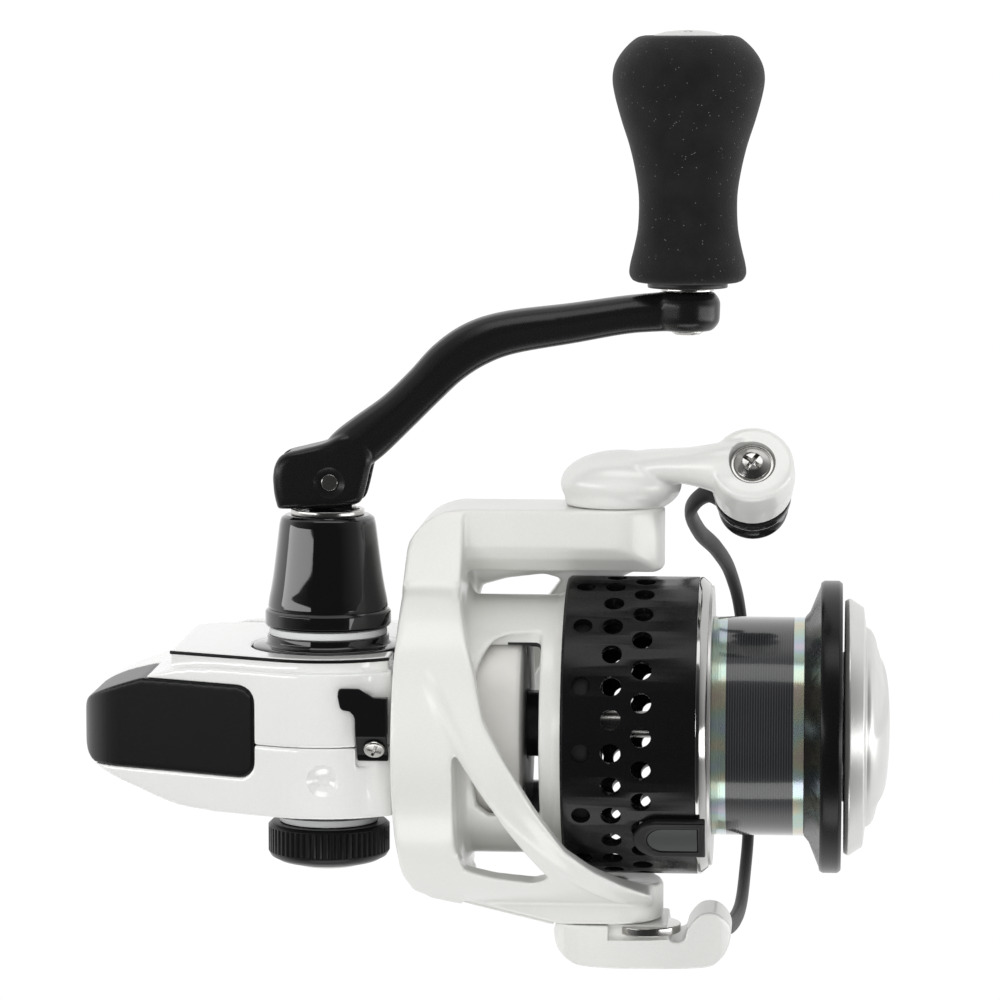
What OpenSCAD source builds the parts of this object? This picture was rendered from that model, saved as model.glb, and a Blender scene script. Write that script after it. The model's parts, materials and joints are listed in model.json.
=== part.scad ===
// Front-drag spinning reel with a folding handle.
// Frame: origin at the centre of the foot's seat face, +X towards the spool, +Z up to the rod,
// the handle on the -Y side. Millimetres.

/* [Layout] */
// Depth of the main shaft below the seat face of the foot
axis_drop = 62; // [61:0.5:64]
// Offset of the drive shaft below the main shaft
gear_offset = 7; // [6.8:0.1:7.4]
// Place of the drive shaft along the reel
gear_x = -3.2; // [-3.6:0.1:-3]

/* [Body] */
// Half of the width of the gearbox
body_half = 10.7; // [10.6:0.1:11]
// Radius of the gearbox round the drive shaft
box_r = 17.2; // [17:0.1:17.6]
// Wall of the housing and of the side cover
wall = 1.5; // [1.4:0.1:1.7]
// Front face of the gearbox, just behind the rotor
box_front = 7.6; // [7.4:0.1:7.8]
// Radius of the neck and boss that the rotor turns round
neck_r = 16.9; // [16.5:0.1:17]

/* [Foot] */
// Length of the foot
foot_l = 60; // [56:1:62]
// Width of the foot
foot_w = 13.5; // [12:0.5:15]

/* [Handle] */
// Distance of the fold pin from the main shaft's plane
fold_y = -37.4; // [-37.6:0.1:-37.2]
// Distance of the knob's axis from the drive shaft
arm_r = 53.4; // [52:0.2:55]
// Widest radius of the foam grip
grip_r = 11.1; // [10.5:0.1:11.6]

/* [Rotor] */
// Rear face of the rotor
rotor_rear = 8.6; // [8.5:0.1:8.8]
// Outer radius of the inner cup, which the skirt slides over
cup_r = 20.4; // [20:0.1:20.6]
// Inner radius of the arms and struts
arm_in = 23.8; // [23.7:0.1:24]
// Outer face of the roller-side arm
arm_a_y = -33.2; // [-33.4:0.1:-33]
// Outer face of the holder-side arm
arm_b_y = 29.3; // [29.1:0.1:29.4]
// Place of the bail's pivots along the reel
bail_x = 39.3; // [39:0.1:39.6]
// Radius of the arms' round ends
arm_end_r = 7.5; // [7.3:0.1:7.6]

/* [Spool] */
// Outer radius of the skirt
skirt_r = 22.3; // [22:0.1:22.4]
// Rear edge of the skirt
skirt_rear = 32.3; // [32:0.1:32.6]
// Front edge of the skirt
skirt_front = 52; // [51.8:0.1:52.2]
// Radius of the line lay
lay_r = 16.4; // [16.2:0.1:16.6]
// Holes round the two dense rows of the skirt
skirt_holes = 28; // [24:2:30]

/* [Gears] */
// Teeth of the pinion
pinion_teeth = 7; // [6:1:9]
// Teeth of the drive gear, for each tooth of the pinion
gear_ratio = 5; // [4:1:6]
// Radius of the crank that moves the spool
crank_r = 7; // [6.5:0.1:7]

/* [Hidden] */
$fn = 64;

// gaps: between fixed pieces, and radial running clearance on shafts
fit = 0.05;
eps = 0.5;
gear_z = -axis_drop - gear_offset;
// radii of the shafts and the bores that run on them
shaft_r = 2;
drive_r = 4;
pinion_tube_r = 3;
pin_x = gear_x + 0.7;
knob_x = gear_x + arm_r;
// handle-side stack, as distances from the main shaft's plane
stack_gasket = body_half + 0.5;
neck_rear = 8.3;
stack_collar = 14.4;
stack_seal = 15.6;
bell_foot = 15.7;
bell_top = 32.3;
hub_foot = 33.2;
// cap-side stack
cap_collar_top = 12.4;
cap_seal_top = 13.9;
cap_top = 19;
// oscillation train
osc_x = -18.6;
osc_module = norm([osc_x - gear_x, gear_offset]) / 30;
slider_x = osc_x + 2;
slider_half = 3.5;
guide_z = -axis_drop + 7.6;
// roller axis: leaves the near side and leans towards the main shaft
roller_tilt = 33;
roller_from = [59.9, -40.05, -axis_drop - 9];
boss_len = 8.7;
roller_len = 5;
// outer radius of the rotor's curved struts
strut_r = 26.9;
// line clip's place round the skirt, and its outer face
clip_angle = 37.6;
clip_r = 23.3;

function arc(c, r, a0, a1, n = 14) =
    [for (i = [0:n]) c + r * [cos(a0 + (a1 - a0) * i / n), sin(a0 + (a1 - a0) * i / n)]];

// moves a shape drawn along +Z onto the main shaft's line, along +X, along the drive shaft,
// or along the drive shaft towards the handle
module on_main(x = 0) { translate([x, 0, -axis_drop]) rotate([0, 90, 0]) children(); }
module on_drive(y = 0) { translate([gear_x, y, gear_z]) rotate([-90, 0, 0]) children(); }
module to_handle(d = 0) { translate([gear_x, -d, gear_z]) rotate([90, 0, 0]) children(); }
module to_knob(d = 0) { translate([knob_x, -d, gear_z]) rotate([90, 0, 0]) children(); }
module on_roller(t = 0) {
    translate(roller_from) rotate([-roller_tilt, 0, 0]) translate([0, 0, t]) children();
}

module ring(h, ro, ri) {
    difference() {
        cylinder(h = h, r = ro);
        translate([0, 0, -eps]) cylinder(h = h + 2 * eps, r = ri);
    }
}

// a toothed disc: straight teeth cut with square-ended gaps
module toothed(h, r, teeth, depth, bore) {
    difference() {
        cylinder(h = h, r = r);
        translate([0, 0, -eps]) cylinder(h = h + 2 * eps, r = bore);
        for (i = [0:teeth - 1])
            rotate(i * 360 / teeth)
                translate([r, 0, h / 2])
                    cube([2 * depth, PI * r / teeth, h + 2 * eps], center = true);
    }
}

// round tube swept along a list of points
function unit(v) = v / norm(v);
function tangent(p, i) = unit(p[min(i + 1, len(p) - 1)] - p[max(i - 1, 0)]);
function side_of(t, up) = unit(cross(t, up));
function smooth_point(p, i, t) =
    let (a = p[max(i - 1, 0)], b = p[i], c = p[i + 1], d = p[min(i + 2, len(p) - 1)])
    0.5 * (2 * b + (c - a) * t + (2 * a - 5 * b + 4 * c - d) * t * t
        + (3 * b - a - 3 * c + d) * t * t * t);
function smooth_path(p, n) =
    concat([for (i = [0:len(p) - 2], k = [0:n - 1]) smooth_point(p, i, k / n)], [p[len(p) - 1]]);
module tube(p, r, sides = 10, up = [1, 0, 0]) {
    rings = [for (i = [0:len(p) - 1])
        let (t = tangent(p, i), u = side_of(t, up), v = cross(t, u))
        for (k = [0:sides - 1]) p[i] + r * (cos(k * 360 / sides) * u + sin(k * 360 / sides) * v)];
    n = len(p);
    polyhedron(points = rings, faces = concat(
        [[for (k = [0:sides - 1]) k]],
        [[for (k = [0:sides - 1]) (n - 1) * sides + sides - 1 - k]],
        [for (i = [0:n - 2], k = [0:sides - 1])
            [i * sides + k, (i + 1) * sides + k, (i + 1) * sides + (k + 1) % sides]],
        [for (i = [0:n - 2], k = [0:sides - 1])
            [i * sides + k, (i + 1) * sides + (k + 1) % sides, i * sides + (k + 1) % sides]]));
}

// ---- body ----

// side outline of the gearbox and tail, inset by d
function side_outline(d) = concat(
    [[box_front - d, -axis_drop + neck_r - d]],
    arc([gear_x, gear_z], box_r - d, -50, -112),
    arc([-30, -65], 10.4 - d, -115, -190),
    arc([-32, -57], 8.4 - d, 172, 105),
    [[-22, -axis_drop + neck_r - d]]);

// outline seen from below, inset by d
function half_outline(d) = concat([[box_front - d, body_half - d]],
    smooth_path([[-19, body_half - d], [-25, 10.1 - d], [-31, 8.2 - d], [-36.4, 6.2 - d],
        [-39.6 + d, 4.2 - d], [-40.4 + d, 1.6 - d / 3]], 4));
function plan_outline(d) = let (h = half_outline(d), n = len(h))
    concat(h, [for (i = [n - 1:-1:0]) [h[i][0], -h[i][1]]]);

module body_form(d) {
    intersection() {
        rotate([90, 0, 0]) translate([0, 0, -20]) linear_extrude(40) polygon(side_outline(d));
        translate([0, 0, -100]) linear_extrude(70) polygon(plan_outline(d));
    }
}

// region of the tail that the rear cover wraps, with round corners towards the front
module tail_region(grow = 0) {
    corner = 2.4;
    front = -12.6 + grow;
    intersection() {
        tail_wedge(grow);
        translate([0, 0, -96]) linear_extrude(50) polygon(concat(
            [[-46, 5.2 + grow], [-46, -8.4 - grow]],
            arc([front - corner, -8.4 - grow + corner], corner, -90, 0, 6),
            arc([front - corner, 5.2 + grow - corner], corner, 0, 90, 6)));
    }
}
module tail_wedge(grow) {
    rotate([90, 0, 0]) translate([0, 0, -5.2 - grow]) linear_extrude(13.6 + 2 * grow)
        polygon([[-45, -53 + grow], [-35, -57 + grow], [-20, -70], [-12 + grow, -79 + grow],
                 [-12 + grow, -95], [-45, -95]]);
}

// round neck that carries the boss; only its middle reaches back to the gearbox
module neck() {
    on_main(neck_rear) cylinder(h = 16 - neck_rear, r = neck_r);
    intersection() {
        on_main(7) cylinder(h = 2, r = neck_r);
        translate([6, -body_half, -axis_drop - 20]) cube([4, 2 * body_half, 40]);
    }
}

module stem_and_foot() {
    rotate([90, 0, 0]) translate([0, 0, -4.2]) linear_extrude(8.4)
        polygon([[-29, -50], [-25, -41], [-17, -22], [-13, -4], [11, -4], [4.5, -14],
                 [0.5, -27], [-1, -40], [0, -48]]);
    intersection() {
        rotate([90, 0, 0]) translate([0, 0, -foot_w]) linear_extrude(2 * foot_w)
            polygon([[-foot_l / 2, 0], [foot_l / 2, 0], [foot_l / 2, -1.6], [13, -4.6],
                     [-15, -4.6], [-foot_l / 2, -1.6]]);
        translate([0, 0, -8]) linear_extrude(9) union() {
            square([foot_l - foot_w, foot_w], center = true);
            for (s = [-1, 1]) translate([s * (foot_l - foot_w) / 2, 0]) circle(d = foot_w);
        }
    }
}

// space inside the gearbox, the bearing bores and the shaft passages
module gear_space() {
    difference() {
        union() {
            body_form(wall);
            intersection() {
                on_main(0) cylinder(h = 11.5, r = neck_r - wall);
                translate([0, wall - body_half, -100]) cube([20, 2 * (body_half - wall), 80]);
            }
        }
        // bosses that hold the drive bearings
        on_drive(-body_half) cylinder(h = body_half - 7, r = 8.6);
        // floor under the anti-reverse lever
        translate([-5, -12.5, -84]) cube([13, 17.5, 1.5]);
        on_drive(7) cylinder(h = body_half - 7, r = 8.6);
        // rear and front carriers of the guide rod
        translate([-40, -3, guide_z - 2.5]) cube([5.5, 6, 5]);
    }
    on_main(10) cylinder(h = 8, r = 6.5);
    on_drive(-body_half - 1) cylinder(h = body_half - 6 + 0.1, r = 7);
    on_drive(-7.1) cylinder(h = 1, r = drive_r + 0.4);
    on_drive(7 - 0.1) cylinder(h = 8, r = 7);
}

module side_region(grow = 0) {
    translate([-60, 0.2 - grow, -100]) cube([60 + box_front + 1, 20, 100 - axis_drop + 16 + grow]);
}

module guide_bore() {
    on_guide(-38) cylinder(h = 53, r = 1.1);
}
module on_guide(x) { translate([x, 0, guide_z]) rotate([0, 90, 0]) children(); }

// recess for the anti-reverse lever, as wide as the lever swings
module lever_pad() {
    translate([2.6, -9.2, -96]) cube([5.4, 16.4, 12]);
    translate([5.3, -0.1, -96]) cylinder(h = 12, r = 5.1);
    translate([0, 0, -96]) linear_extrude(12) polygon([
        [2.7, 1.2], [0.95, -3.95], [-0.2, -4.1], [-1.85, -5.35], [-2.4, -6.7], [-1.2, -7.95],
        [0.05, -8.9], [0.05, -9.2], [3, -9.2]]);
}
module lever_bore() { translate([5.3, -0.1, -90]) cylinder(h = 11, r = 1); }

module body_housing() color("whitesmoke") {
    difference() {
        union() {
            // raised face inside the gasket on the handle side
            rotate([90, 0, 0]) translate([0, 0, body_half - 1]) linear_extrude(1.45)
                intersection() {
                    polygon(side_outline(1.9));
                    translate([-25.8, -100]) square([31, 60]);
                }
            difference() {
                body_form(0);
                side_region(0);
            }
            neck();
            stem_and_foot();
        }
        gear_space();
        tail_cut();
        lever_pad();
        guide_bore();
        lever_bore();
        for (a = [45, 165, 285]) on_main(10) rotate(a) translate([13, 0, 0]) cylinder(h = 8, r = 0.8);
    }
}

module tail_cut() {
    difference() {
        tail_region(fit);
        body_form(wall + fit);
    }
}

cover_screw_places = [[-29, -62], [-13, -80], [-10, -52]];

module side_cover() color("white") {
    difference() {
        intersection() {
            body_form(0);
            side_region(-fit);
        }
        gear_space();
        on_main(7 - fit) cylinder(h = 20, r = neck_r + fit);
        tail_cut();
        lever_pad();
        guide_bore();
        for (p = cover_screw_places)
            translate([p[0], body_half - 1.2, p[1]]) rotate([-90, 0, 0]) cylinder(h = 5, r = 2.1);
        // round recess low on the front of the cover
        translate([-4.6, 6.4, -87.6]) sphere(r = 2.6);
        stem_passage();
        lever_bore();
    }
}

module stem_passage() {
    translate([-30, -4.3, -50]) cube([31, 8.6, 20]);
}

module rear_cover() color("black") {
    difference() {
        intersection() {
            body_form(0);
            tail_region(0);
        }
        body_form(wall);
    }
}

module cover_screws() color("silver") {
    for (p = cover_screw_places)
        if (p[0] > -25)
            translate([p[0], body_half - 1.15, p[1]]) rotate([-90, 0, 0]) difference() {
                cylinder(h = 1, r = 2);
                for (a = [0, 90]) rotate(a) translate([-1.3, -0.25, 0.5]) cube([2.6, 0.5, 1]);
            }
}

module handle_gasket() color("black") {
    difference() {
        intersection() {
            rotate([90, 0, 0]) translate([0, 0, body_half + 0.02]) linear_extrude(0.45)
                polygon(side_outline(0.9));
            translate([-26.5, -20, -100]) cube([32.6, 20, 60]);
        }
        rotate([90, 0, 0]) translate([0, 0, body_half - 1]) linear_extrude(3) intersection() {
            polygon(side_outline(1.85));
            translate([-25.85, -100]) square([31.1, 60]);
        }
    }
}

module handle_collar() color("black") {
    to_handle(0) rotate_extrude(angle = 360) polygon([
        [drive_r + 0.4, stack_gasket], [9.8, stack_gasket], [9.8, 12.2], [11.2, 12.2],
        [11.2, 12.8], [10.6, 13], [9.4, 13.1], [9.1, 13.5], [9.1, stack_collar],
        [drive_r + 0.4, stack_collar]]);
}

module handle_seal() color("gainsboro") {
    to_handle(stack_collar + 0.02) ring(stack_seal - stack_collar - 0.1, 8.8, drive_r + 0.4);
}

module cap_collar() color("black") {
    on_drive(0) rotate_extrude(angle = 360) polygon([
        [7.1, body_half + 0.05], [10.1, body_half + 0.05], [10.1, 12], [9.7, cap_collar_top],
        [drive_r + 0.4, cap_collar_top], [drive_r + 0.4, body_half + 0.7], [7.1, body_half + 0.7]]);
}

module cap_seal() color("gainsboro") {
    on_drive(cap_collar_top + 0.02)
        ring(cap_seal_top - cap_collar_top - 0.1, 7.4, drive_r + 0.4);
}

module front_boss() color("silver") {
    difference() {
        on_main(0) rotate_extrude(angle = 360) polygon([
            [9, 16.1], [17, 16.1], [17, 25.2], [16.6, 26], [15.8, 26.3], [5.4, 26.3], [5.4, 24.6],
            [9, 24.6]]);
        for (a = [45, 165, 285]) on_main(16) rotate(a) translate([13, 0, -1]) {
            cylinder(h = 14, r = 0.85);
            translate([0, 0, 9.2]) cylinder(h = 5, r = 1.8);
        }
    }
}

module boss_screws() color("silver") {
    for (a = [45, 165, 285]) on_main(16) rotate(a) translate([13, 0, 0]) {
        translate([0, 0, -4]) cylinder(h = 13.3, r = 0.78);
        translate([0, 0, 8.25]) difference() {
            translate([0, 0, 1]) cylinder(h = 0.95, r = 1.7);
            for (b = [0, 90]) rotate(b) translate([-1, -0.2, 1.5]) cube([2, 0.4, 1]);
        }
    }
}

// outer race, eight rollers and their cage, joined as one cartridge
module one_way_clutch() color("lightgray") {
    on_main(16.9) {
        difference() {
            cylinder(h = 7.4, r = 8.95);
            translate([0, 0, -eps]) cylinder(h = 9, r = pinion_tube_r + fit);
            for (i = [0:7]) rotate(i * 45) translate([6, 0, 1]) cylinder(h = 7, r = 1.4);
        }
        for (i = [0:7]) rotate(i * 45) translate([6, 0, 0.8]) cylinder(h = 6.2, r = 1.1);
    }
}

module drive_bearings() color("lightgray") {
    to_handle(7) bearing(body_half - 7 - 0.1, 6.95, drive_r + fit);
    on_drive(7) bearing(body_half - 7 + 0.6, 6.95, drive_r + fit);
}

module bearing(h, ro, ri) {
    ring_w = (ro - ri) * 0.28;
    ring(h, ro, ro - ring_w);
    ring(h, ri + ring_w, ri);
    translate([0, 0, h * 0.15]) ring(h * 0.7, ro - ring_w + 0.01, ri + ring_w - 0.01);
}

module pinion_bearing() color("lightgray") {
    on_main(11.6) bearing(4.2, 6.45, pinion_tube_r + fit);
}

module guide_rod() color("silver") {
    on_guide(-37.6) cylinder(h = 52.2, r = 1.05);
}

module anti_reverse_lever() color("black") {
    difference() {
        translate([0, 0, -86.9]) linear_extrude(2.6) polygon([
            [0.3, -8.6], [3, -9], [6.2, -7.7], [7.4, -7.7], [7.4, 1.2], [3.2, 1.9], [2.9, 0.3],
            [2.7, -5.2], [1.5, -5.8], [0.4, -7.4]]);
        translate([5.3, -0.1, -90]) cylinder(h = 9, r = 1.05);
        translate([5.3, -0.1, -88]) cylinder(h = 1.9, r = 1.75);
    }
}

module lever_screw() color("silver") {
    translate([5.3, -0.1, -87.2]) difference() {
        union() {
            cylinder(h = 8, r = 0.97);
            cylinder(h = 1.05, r = 1.65);
        }
        for (a = [20, 110]) rotate(a) translate([-1, -0.2, -0.6]) cube([2, 0.4, 1.1]);
    }
}

// ---- drive train and handle ----

gear_disc_r = 11.6;

module drive_gear() color("khaki") {
    teeth = pinion_teeth * gear_ratio;
    on_drive(3.4) difference() {
        union() {
            translate([0, 0, 0.8]) cylinder(h = 1.8, r = gear_disc_r);
            cylinder(h = 3.4, r = 6.4);
            // face teeth on the side that meets the pinion
            for (i = [0:teeth - 1]) rotate(i * 360 / teeth)
                translate([9.2, -0.45, 0]) cube([2.3, 0.9, 1]);
        }
        translate([0, 0, -eps]) cylinder(h = 6, r = drive_r + 0.02);
    }
}

module drive_shaft() color("silver") {
    difference() {
        union() {
            on_drive(-body_half + 0.05) cylinder(h = body_half * 2 + 1.2, r = drive_r);
            on_drive(-6.2) toothed(1.4, 5.45, 20, 0.5, 1);
        }
        on_drive(-body_half - 1) cylinder(h = 40, r = 3 + 0.02);
    }
}

module handle_shaft() color("silver") {
    on_drive(-bell_top + 2) cylinder(h = bell_top - 2 + 13, r = 3);
}

module handle_base() color("black") {
    difference() {
        union() {
            to_handle(0) rotate_extrude(angle = 360) polygon([
                [0, bell_foot], [9.2, bell_foot], [9.4, 16.2], [9.35, 17.8], [8.95, 18.4],
                [8.9, 19.4], [8.55, 21], [8.1, 23.6], [7.65, 27], [7.35, 29.5], [7.2, 30.9],
                [6.8, 31.9], [6.3, bell_top], [0, bell_top]]);
            // tongue that the arm's fork folds on
            translate([pin_x - 3.2, fold_y, gear_z - 2.4]) cube([6.4, -fold_y - bell_top, 4.8]);
            translate([pin_x, fold_y, gear_z - 2.4]) cylinder(h = 4.8, r = 3.2);
        }
        to_handle(bell_foot - 1) cylinder(h = bell_top - 2 - bell_foot + 1.05, r = 3.02);
        translate([pin_x, fold_y, gear_z - 5]) cylinder(h = 10, r = 1.27);
    }
}

module fold_washer() color("silver") {
    to_handle(bell_top + 0.03) ring(hub_foot - bell_top - 0.1, 5.5, 4.75);
}

module fold_pin() color("dimgray") {
    translate([pin_x, fold_y, gear_z - 4.9]) cylinder(h = 9.8, r = 1.25);
}

module handle_cap() color("black") {
    difference() {
        on_drive(0) rotate_extrude(angle = 360) polygon([
            [0, cap_seal_top + 0.05], [8.6, cap_seal_top + 0.05], [9.1, 14.4], [9.1, 18.3],
            [8.7, cap_top], [7.6, 19.6], [5.8, 19.9], [0, 19.9]]);
        for (i = [0:59]) on_drive(14.5) rotate(i * 6) translate([9.1, 0, 0])
            rotate(45) translate([-0.22, -0.22, 0]) cube([0.44, 0.44, 3.7]);
        on_drive(19.5) cylinder(h = 1, r = 5.62);
    }
}

module cap_disc() color("silver") {
    on_drive(19.53) difference() {
        union() {
            cylinder(h = 0.6, r = 5.57);
            translate([0, 0, 0.6]) cylinder(h = 0.25, r1 = 5.4, r2 = 4.9);
        }
        translate([0, 0, 0.7]) cylinder(h = 0.5, r = 3.9);
    }
}

module oscillation_gear() color("khaki") {
    translate([osc_x, -6.2, -axis_drop]) rotate([-90, 0, 0]) difference() {
        union() {
            toothed(1.4, 20 * osc_module + 0.05, 40, 0.6, 1.55);
            // crank pin, ahead of the gear's centre at this point of the stroke
            translate([slider_x - osc_x, -sqrt(crank_r * crank_r - 4), 1.2])
                cylinder(h = 0.7, r = 1.3);
        }
        for (a = [60, 180, 300]) rotate(a + 30) translate([5.4, 0, -eps]) cylinder(h = 3, r = 1.9);
    }
}

arm_half = 4.4;

module handle_arm() color("dimgray") {
    difference() {
        union() {
            translate([0, 0, gear_z - arm_half]) linear_extrude(2 * arm_half) polygon([
                [gear_x - 7, -hub_foot - 0.15], [gear_x - 7.6, -36], [gear_x - 7.6, -39.4],
                [gear_x - 6.5, -41.2], [gear_x - 4, -41.9], [gear_x + 3.1, -45.4],
                [gear_x + 10.2, -52], [gear_x + 15.4, -57.1], [gear_x + 19.5, -60.6],
                [gear_x + 25.7, -62.9], [gear_x + 36, -64.1], [knob_x, -65.4],
                [knob_x, -60.2], [gear_x + 45.6, -60.1], [gear_x + 31.4, -57.8],
                [gear_x + 25.7, -56.6], [gear_x + 21, -54.2], [gear_x + 15.4, -48.6],
                [gear_x + 9, -42], [gear_x + 7.6, -40.2], [gear_x + 6.6, -36.4],
                [gear_x + 5.4, -35.2], [pin_x, -hub_foot - 0.15]]);
            to_knob(59.9) cylinder(h = 5.9, r = 4.75);
        }
        // fork over the tongue
        translate([pin_x - 12, fold_y - 4.2, gear_z - 2.5]) cube([21, 20, 5]);
        translate([pin_x, fold_y, gear_z - 20]) cylinder(h = 40, r = 1.3);
        for (s = [-1, 1])
            translate([pin_x, fold_y, gear_z + s * (arm_half + 2.1)])
                cylinder(h = 5, r = 2.3, center = true);
        to_knob(50) cylinder(h = 20, r = 2.42);
    }
}

module knob_shaft() color("silver") {
    to_knob(0) difference() {
        rotate_extrude(angle = 360) polygon([[0, 59.4], [1.9, 59.4], [2.4, 59.8], [2.4, 65.85],
            [3.9, 65.85], [3.9, 66.2], [2.4, 66.2], [2.4, 97.3], [3.3, 97.3], [3.3, 98.6],
            [0, 98.6]]);
        for (a = [0, 90]) rotate(a) translate([-1.4, -0.25, 58.8]) cube([2.8, 0.5, 1.2]);
    }
}

module knob_grip() color("black") {
    to_knob(0) rotate_extrude(angle = 360) polygon(concat(
        [[5.25, 67.2], [7.9, 67.2]],
        arc([7.4, 68.9], 1.3, -60, 60, 5),
        [[7.75, 73], [7.35, 77], [7.35, 79.5], [7.7, 83], [8.7, 87.5], [9.8, 91], [10.6, 93.7]],
        arc([grip_r - 4.9, 97.8], 4.9, -16, 88, 12),
        [[5.25, 102.7]]));
}

module knob_core() color("black") {
    to_knob(0) rotate_extrude(angle = 360) polygon([[4.05, 66.3], [5.9, 66.3], [5.9, 67.1],
        [5.2, 67.1], [5.2, 100.2], [4.05, 100.2]]);
}

module knob_cap() color("silver") {
    difference() {
        to_knob(0) rotate_extrude(angle = 360) polygon([[0, 100.3], [4.85, 100.3], [4.95, 103],
            [4.7, 103.7], [3.8, 104.2], [2.2, 104.5], [0, 104.6]]);
        for (a = [0:120:240]) to_knob(103.4) rotate(a + 30) translate([2.5, 0, 0])
            cylinder(h = 3, r = 1.05);
    }
}

module knob_bearings() color("lightgray") {
    for (d = [67.6, 94]) to_knob(d) bearing(2.6, 4, shaft_r + 0.4 + fit);
}

// ---- main shaft and oscillation ----

module main_shaft() color("silver") {
    on_main(slider_x - slider_half) cylinder(h = 73.6 - slider_x + slider_half, r = shaft_r);
}

module slider_block() color("khaki") {
    difference() {
        translate([slider_x - slider_half, -4.2, -axis_drop - 9.8])
            cube([2 * slider_half, 7.2, 19.6]);
        on_main(-60) cylinder(h = 100, r = shaft_r + 0.02);
        on_guide(-60) cylinder(h = 100, r = 1.1);
        // slot that the crank pin runs in
        translate([slider_x - 1.4, -5, -axis_drop - 8.5]) cube([2.8, 2.4, 17]);
        translate([slider_x, -3, -axis_drop - 5.2]) rotate([-90, 0, 0]) cylinder(h = 8, r = 1.02);
    }
}

module slider_screw() color("silver") {
    translate([slider_x, -2.4, -axis_drop - 5.2]) rotate([-90, 0, 0]) cylinder(h = 5.3, r = 1);
}

// ---- spool ----

module spool_body() color("silver") {
    on_main(0) rotate_extrude(angle = 360) polygon([
        [shaft_r + fit, 46.5], [4.6, 46.5], [5, 47], [5, 50.4], [21, 50.4], [21, 54.15],
        [lay_r - 0.3, 54.15], [lay_r - 0.3, 70.6], [14.2, 70.6], [14.2, 58], [shaft_r + fit, 58]]);
}

// one row of round holes through the skirt
module hole_row(x, count, r, phase) {
    for (i = [0:count - 1])
        on_main(x) rotate(phase + i * 360 / count) rotate([0, 90, 0])
            translate([0, 0, skirt_r - 3]) cylinder(h = 5, r = r, $fn = 24);
}

module spool_skirt() color("black") {
    difference() {
        on_main(0) rotate_extrude(angle = 360) polygon([
            [skirt_r - 1.2, skirt_rear], [skirt_r - 0.3, skirt_rear],
            [skirt_r, skirt_rear + 0.4], [skirt_r, skirt_front], [21.03, skirt_front],
            [21.03, 50.4], [skirt_r - 1.2, 50.4]]);
        hole_row(35.3, skirt_holes / 2, 1.4, 2);
        hole_row(39.7, skirt_holes, 1.5, 2);
        hole_row(44.1, skirt_holes, 1.5, 2 + 180 / skirt_holes);
    }
}

module skirt_ring() color("silver") {
    on_main(0) rotate_extrude(angle = 360) polygon([
        [21.04, skirt_front + 0.03], [skirt_r, skirt_front + 0.03], [skirt_r, 52.6],
        [21.3, 53.7], [21.04, 53.7]]);
}

module spool_label() color("gray") {
    on_main(54.2) ring(13.6, lay_r, lay_r - 0.27);
}

module spool_lip() color("black") {
    on_main(0) rotate_extrude(angle = 360) polygon([
        [lay_r - 0.27, 67.85], [lay_r, 67.85], [17.3, 68.6], [21, 70.1], [21.6, 70.2],
        [21.9, 70.7], [21.9, 72.9], [21.5, 73.4], [18.2, 73.4], [18.2, 70.65],
        [lay_r - 0.27, 70.65]]);
}

module at_clip() {
    translate([0, 0, -axis_drop]) rotate([clip_angle, 0, 0]) children();
}

module line_clip() color("black") {
    at_clip() difference() {
        translate([0, 0, -clip_r]) linear_extrude(2.6) union() {
            translate([46.6, 0]) circle(r = 3.7);
            translate([46.6, -3.7]) square([6.9, 7.4]);
        }
        translate([0, 0, -clip_r - 0.9]) linear_extrude(1.5) union() {
            translate([47.4, 0]) circle(r = 2.5);
            translate([47.4, -2.5]) square([5, 5]);
        }
        rotate([0, 90, 0]) cylinder(h = 80, r = skirt_r + 0.03);
    }
}

module clip_insert() color("dimgray") {
    at_clip() translate([0, 0, 0.1 - clip_r]) linear_extrude(0.45) union() {
        translate([47.4, 0]) circle(r = 2.44);
        translate([47.4, -2.44]) square([4.94, 4.88]);
    }
}

module drag_washers() color("lightslategray") {
    for (i = [0:4]) on_main(58.05 + i * 1.05) ring(0.95, i % 2 == 0 ? 13.2 : 12.6, shaft_r + 0.5);
}

module drag_clip() color("silver") {
    on_main(63.4) difference() {
        ring(0.6, 14.1, 12.9);
        translate([11, -1.5, -1]) cube([5, 3, 3]);
    }
}

module drag_knob() color("silver") {
    difference() {
        on_main(0) rotate_extrude(angle = 360) polygon([
            [shaft_r + fit, 66.2], [11.2, 66.2], [11.2, 73.75], [19, 73.75], [19.3, 74.1],
            [19.3, 76.2], [18.6, 76.9], [15.3, 76.9], [15.3, 76.1], [6, 76.1], [6, 72.6],
            [shaft_r + fit, 72.6]]);
        for (a = [0:120:240]) on_main(72) rotate(a + 60) translate([13.5, 0, 0])
            cylinder(h = 3.3, r = 1.2);
    }
}

module drag_cap() color("gainsboro") {
    on_main(0) rotate_extrude(angle = 360) polygon(concat(
        [[0, 76.15], [15.2, 76.15], [15.2, 77]],
        [for (i = [1:8]) [15 - 3 * pow(i / 8, 2), 77 + 3.2 * sin(i * 90 / 8)]],
        [[6, 80.5], [0, 80.6]]));
}

module drag_spring() color("silver") {
    turns = 2.5;
    steps = 30;
    tube([for (i = [0:steps]) let (a = i * turns * 360 / steps)
        [63.9 + 1.6 * i / steps, 8 * cos(a), -axis_drop + 8 * sin(a)]], 0.25, 6);
}

// ---- rotor ----

// outer outline of the rotor's rear frame, seen along the main shaft
module rear_frame_outline() {
    frame_r = 24.8;
    circle(r = frame_r);
    for (y = [arm_a_y, arm_b_y])
        polygon([[-arm_end_r, y], [arm_end_r, y], [19.5, sign(y) * 15], [-19.5, sign(y) * 15]]);
}

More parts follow.
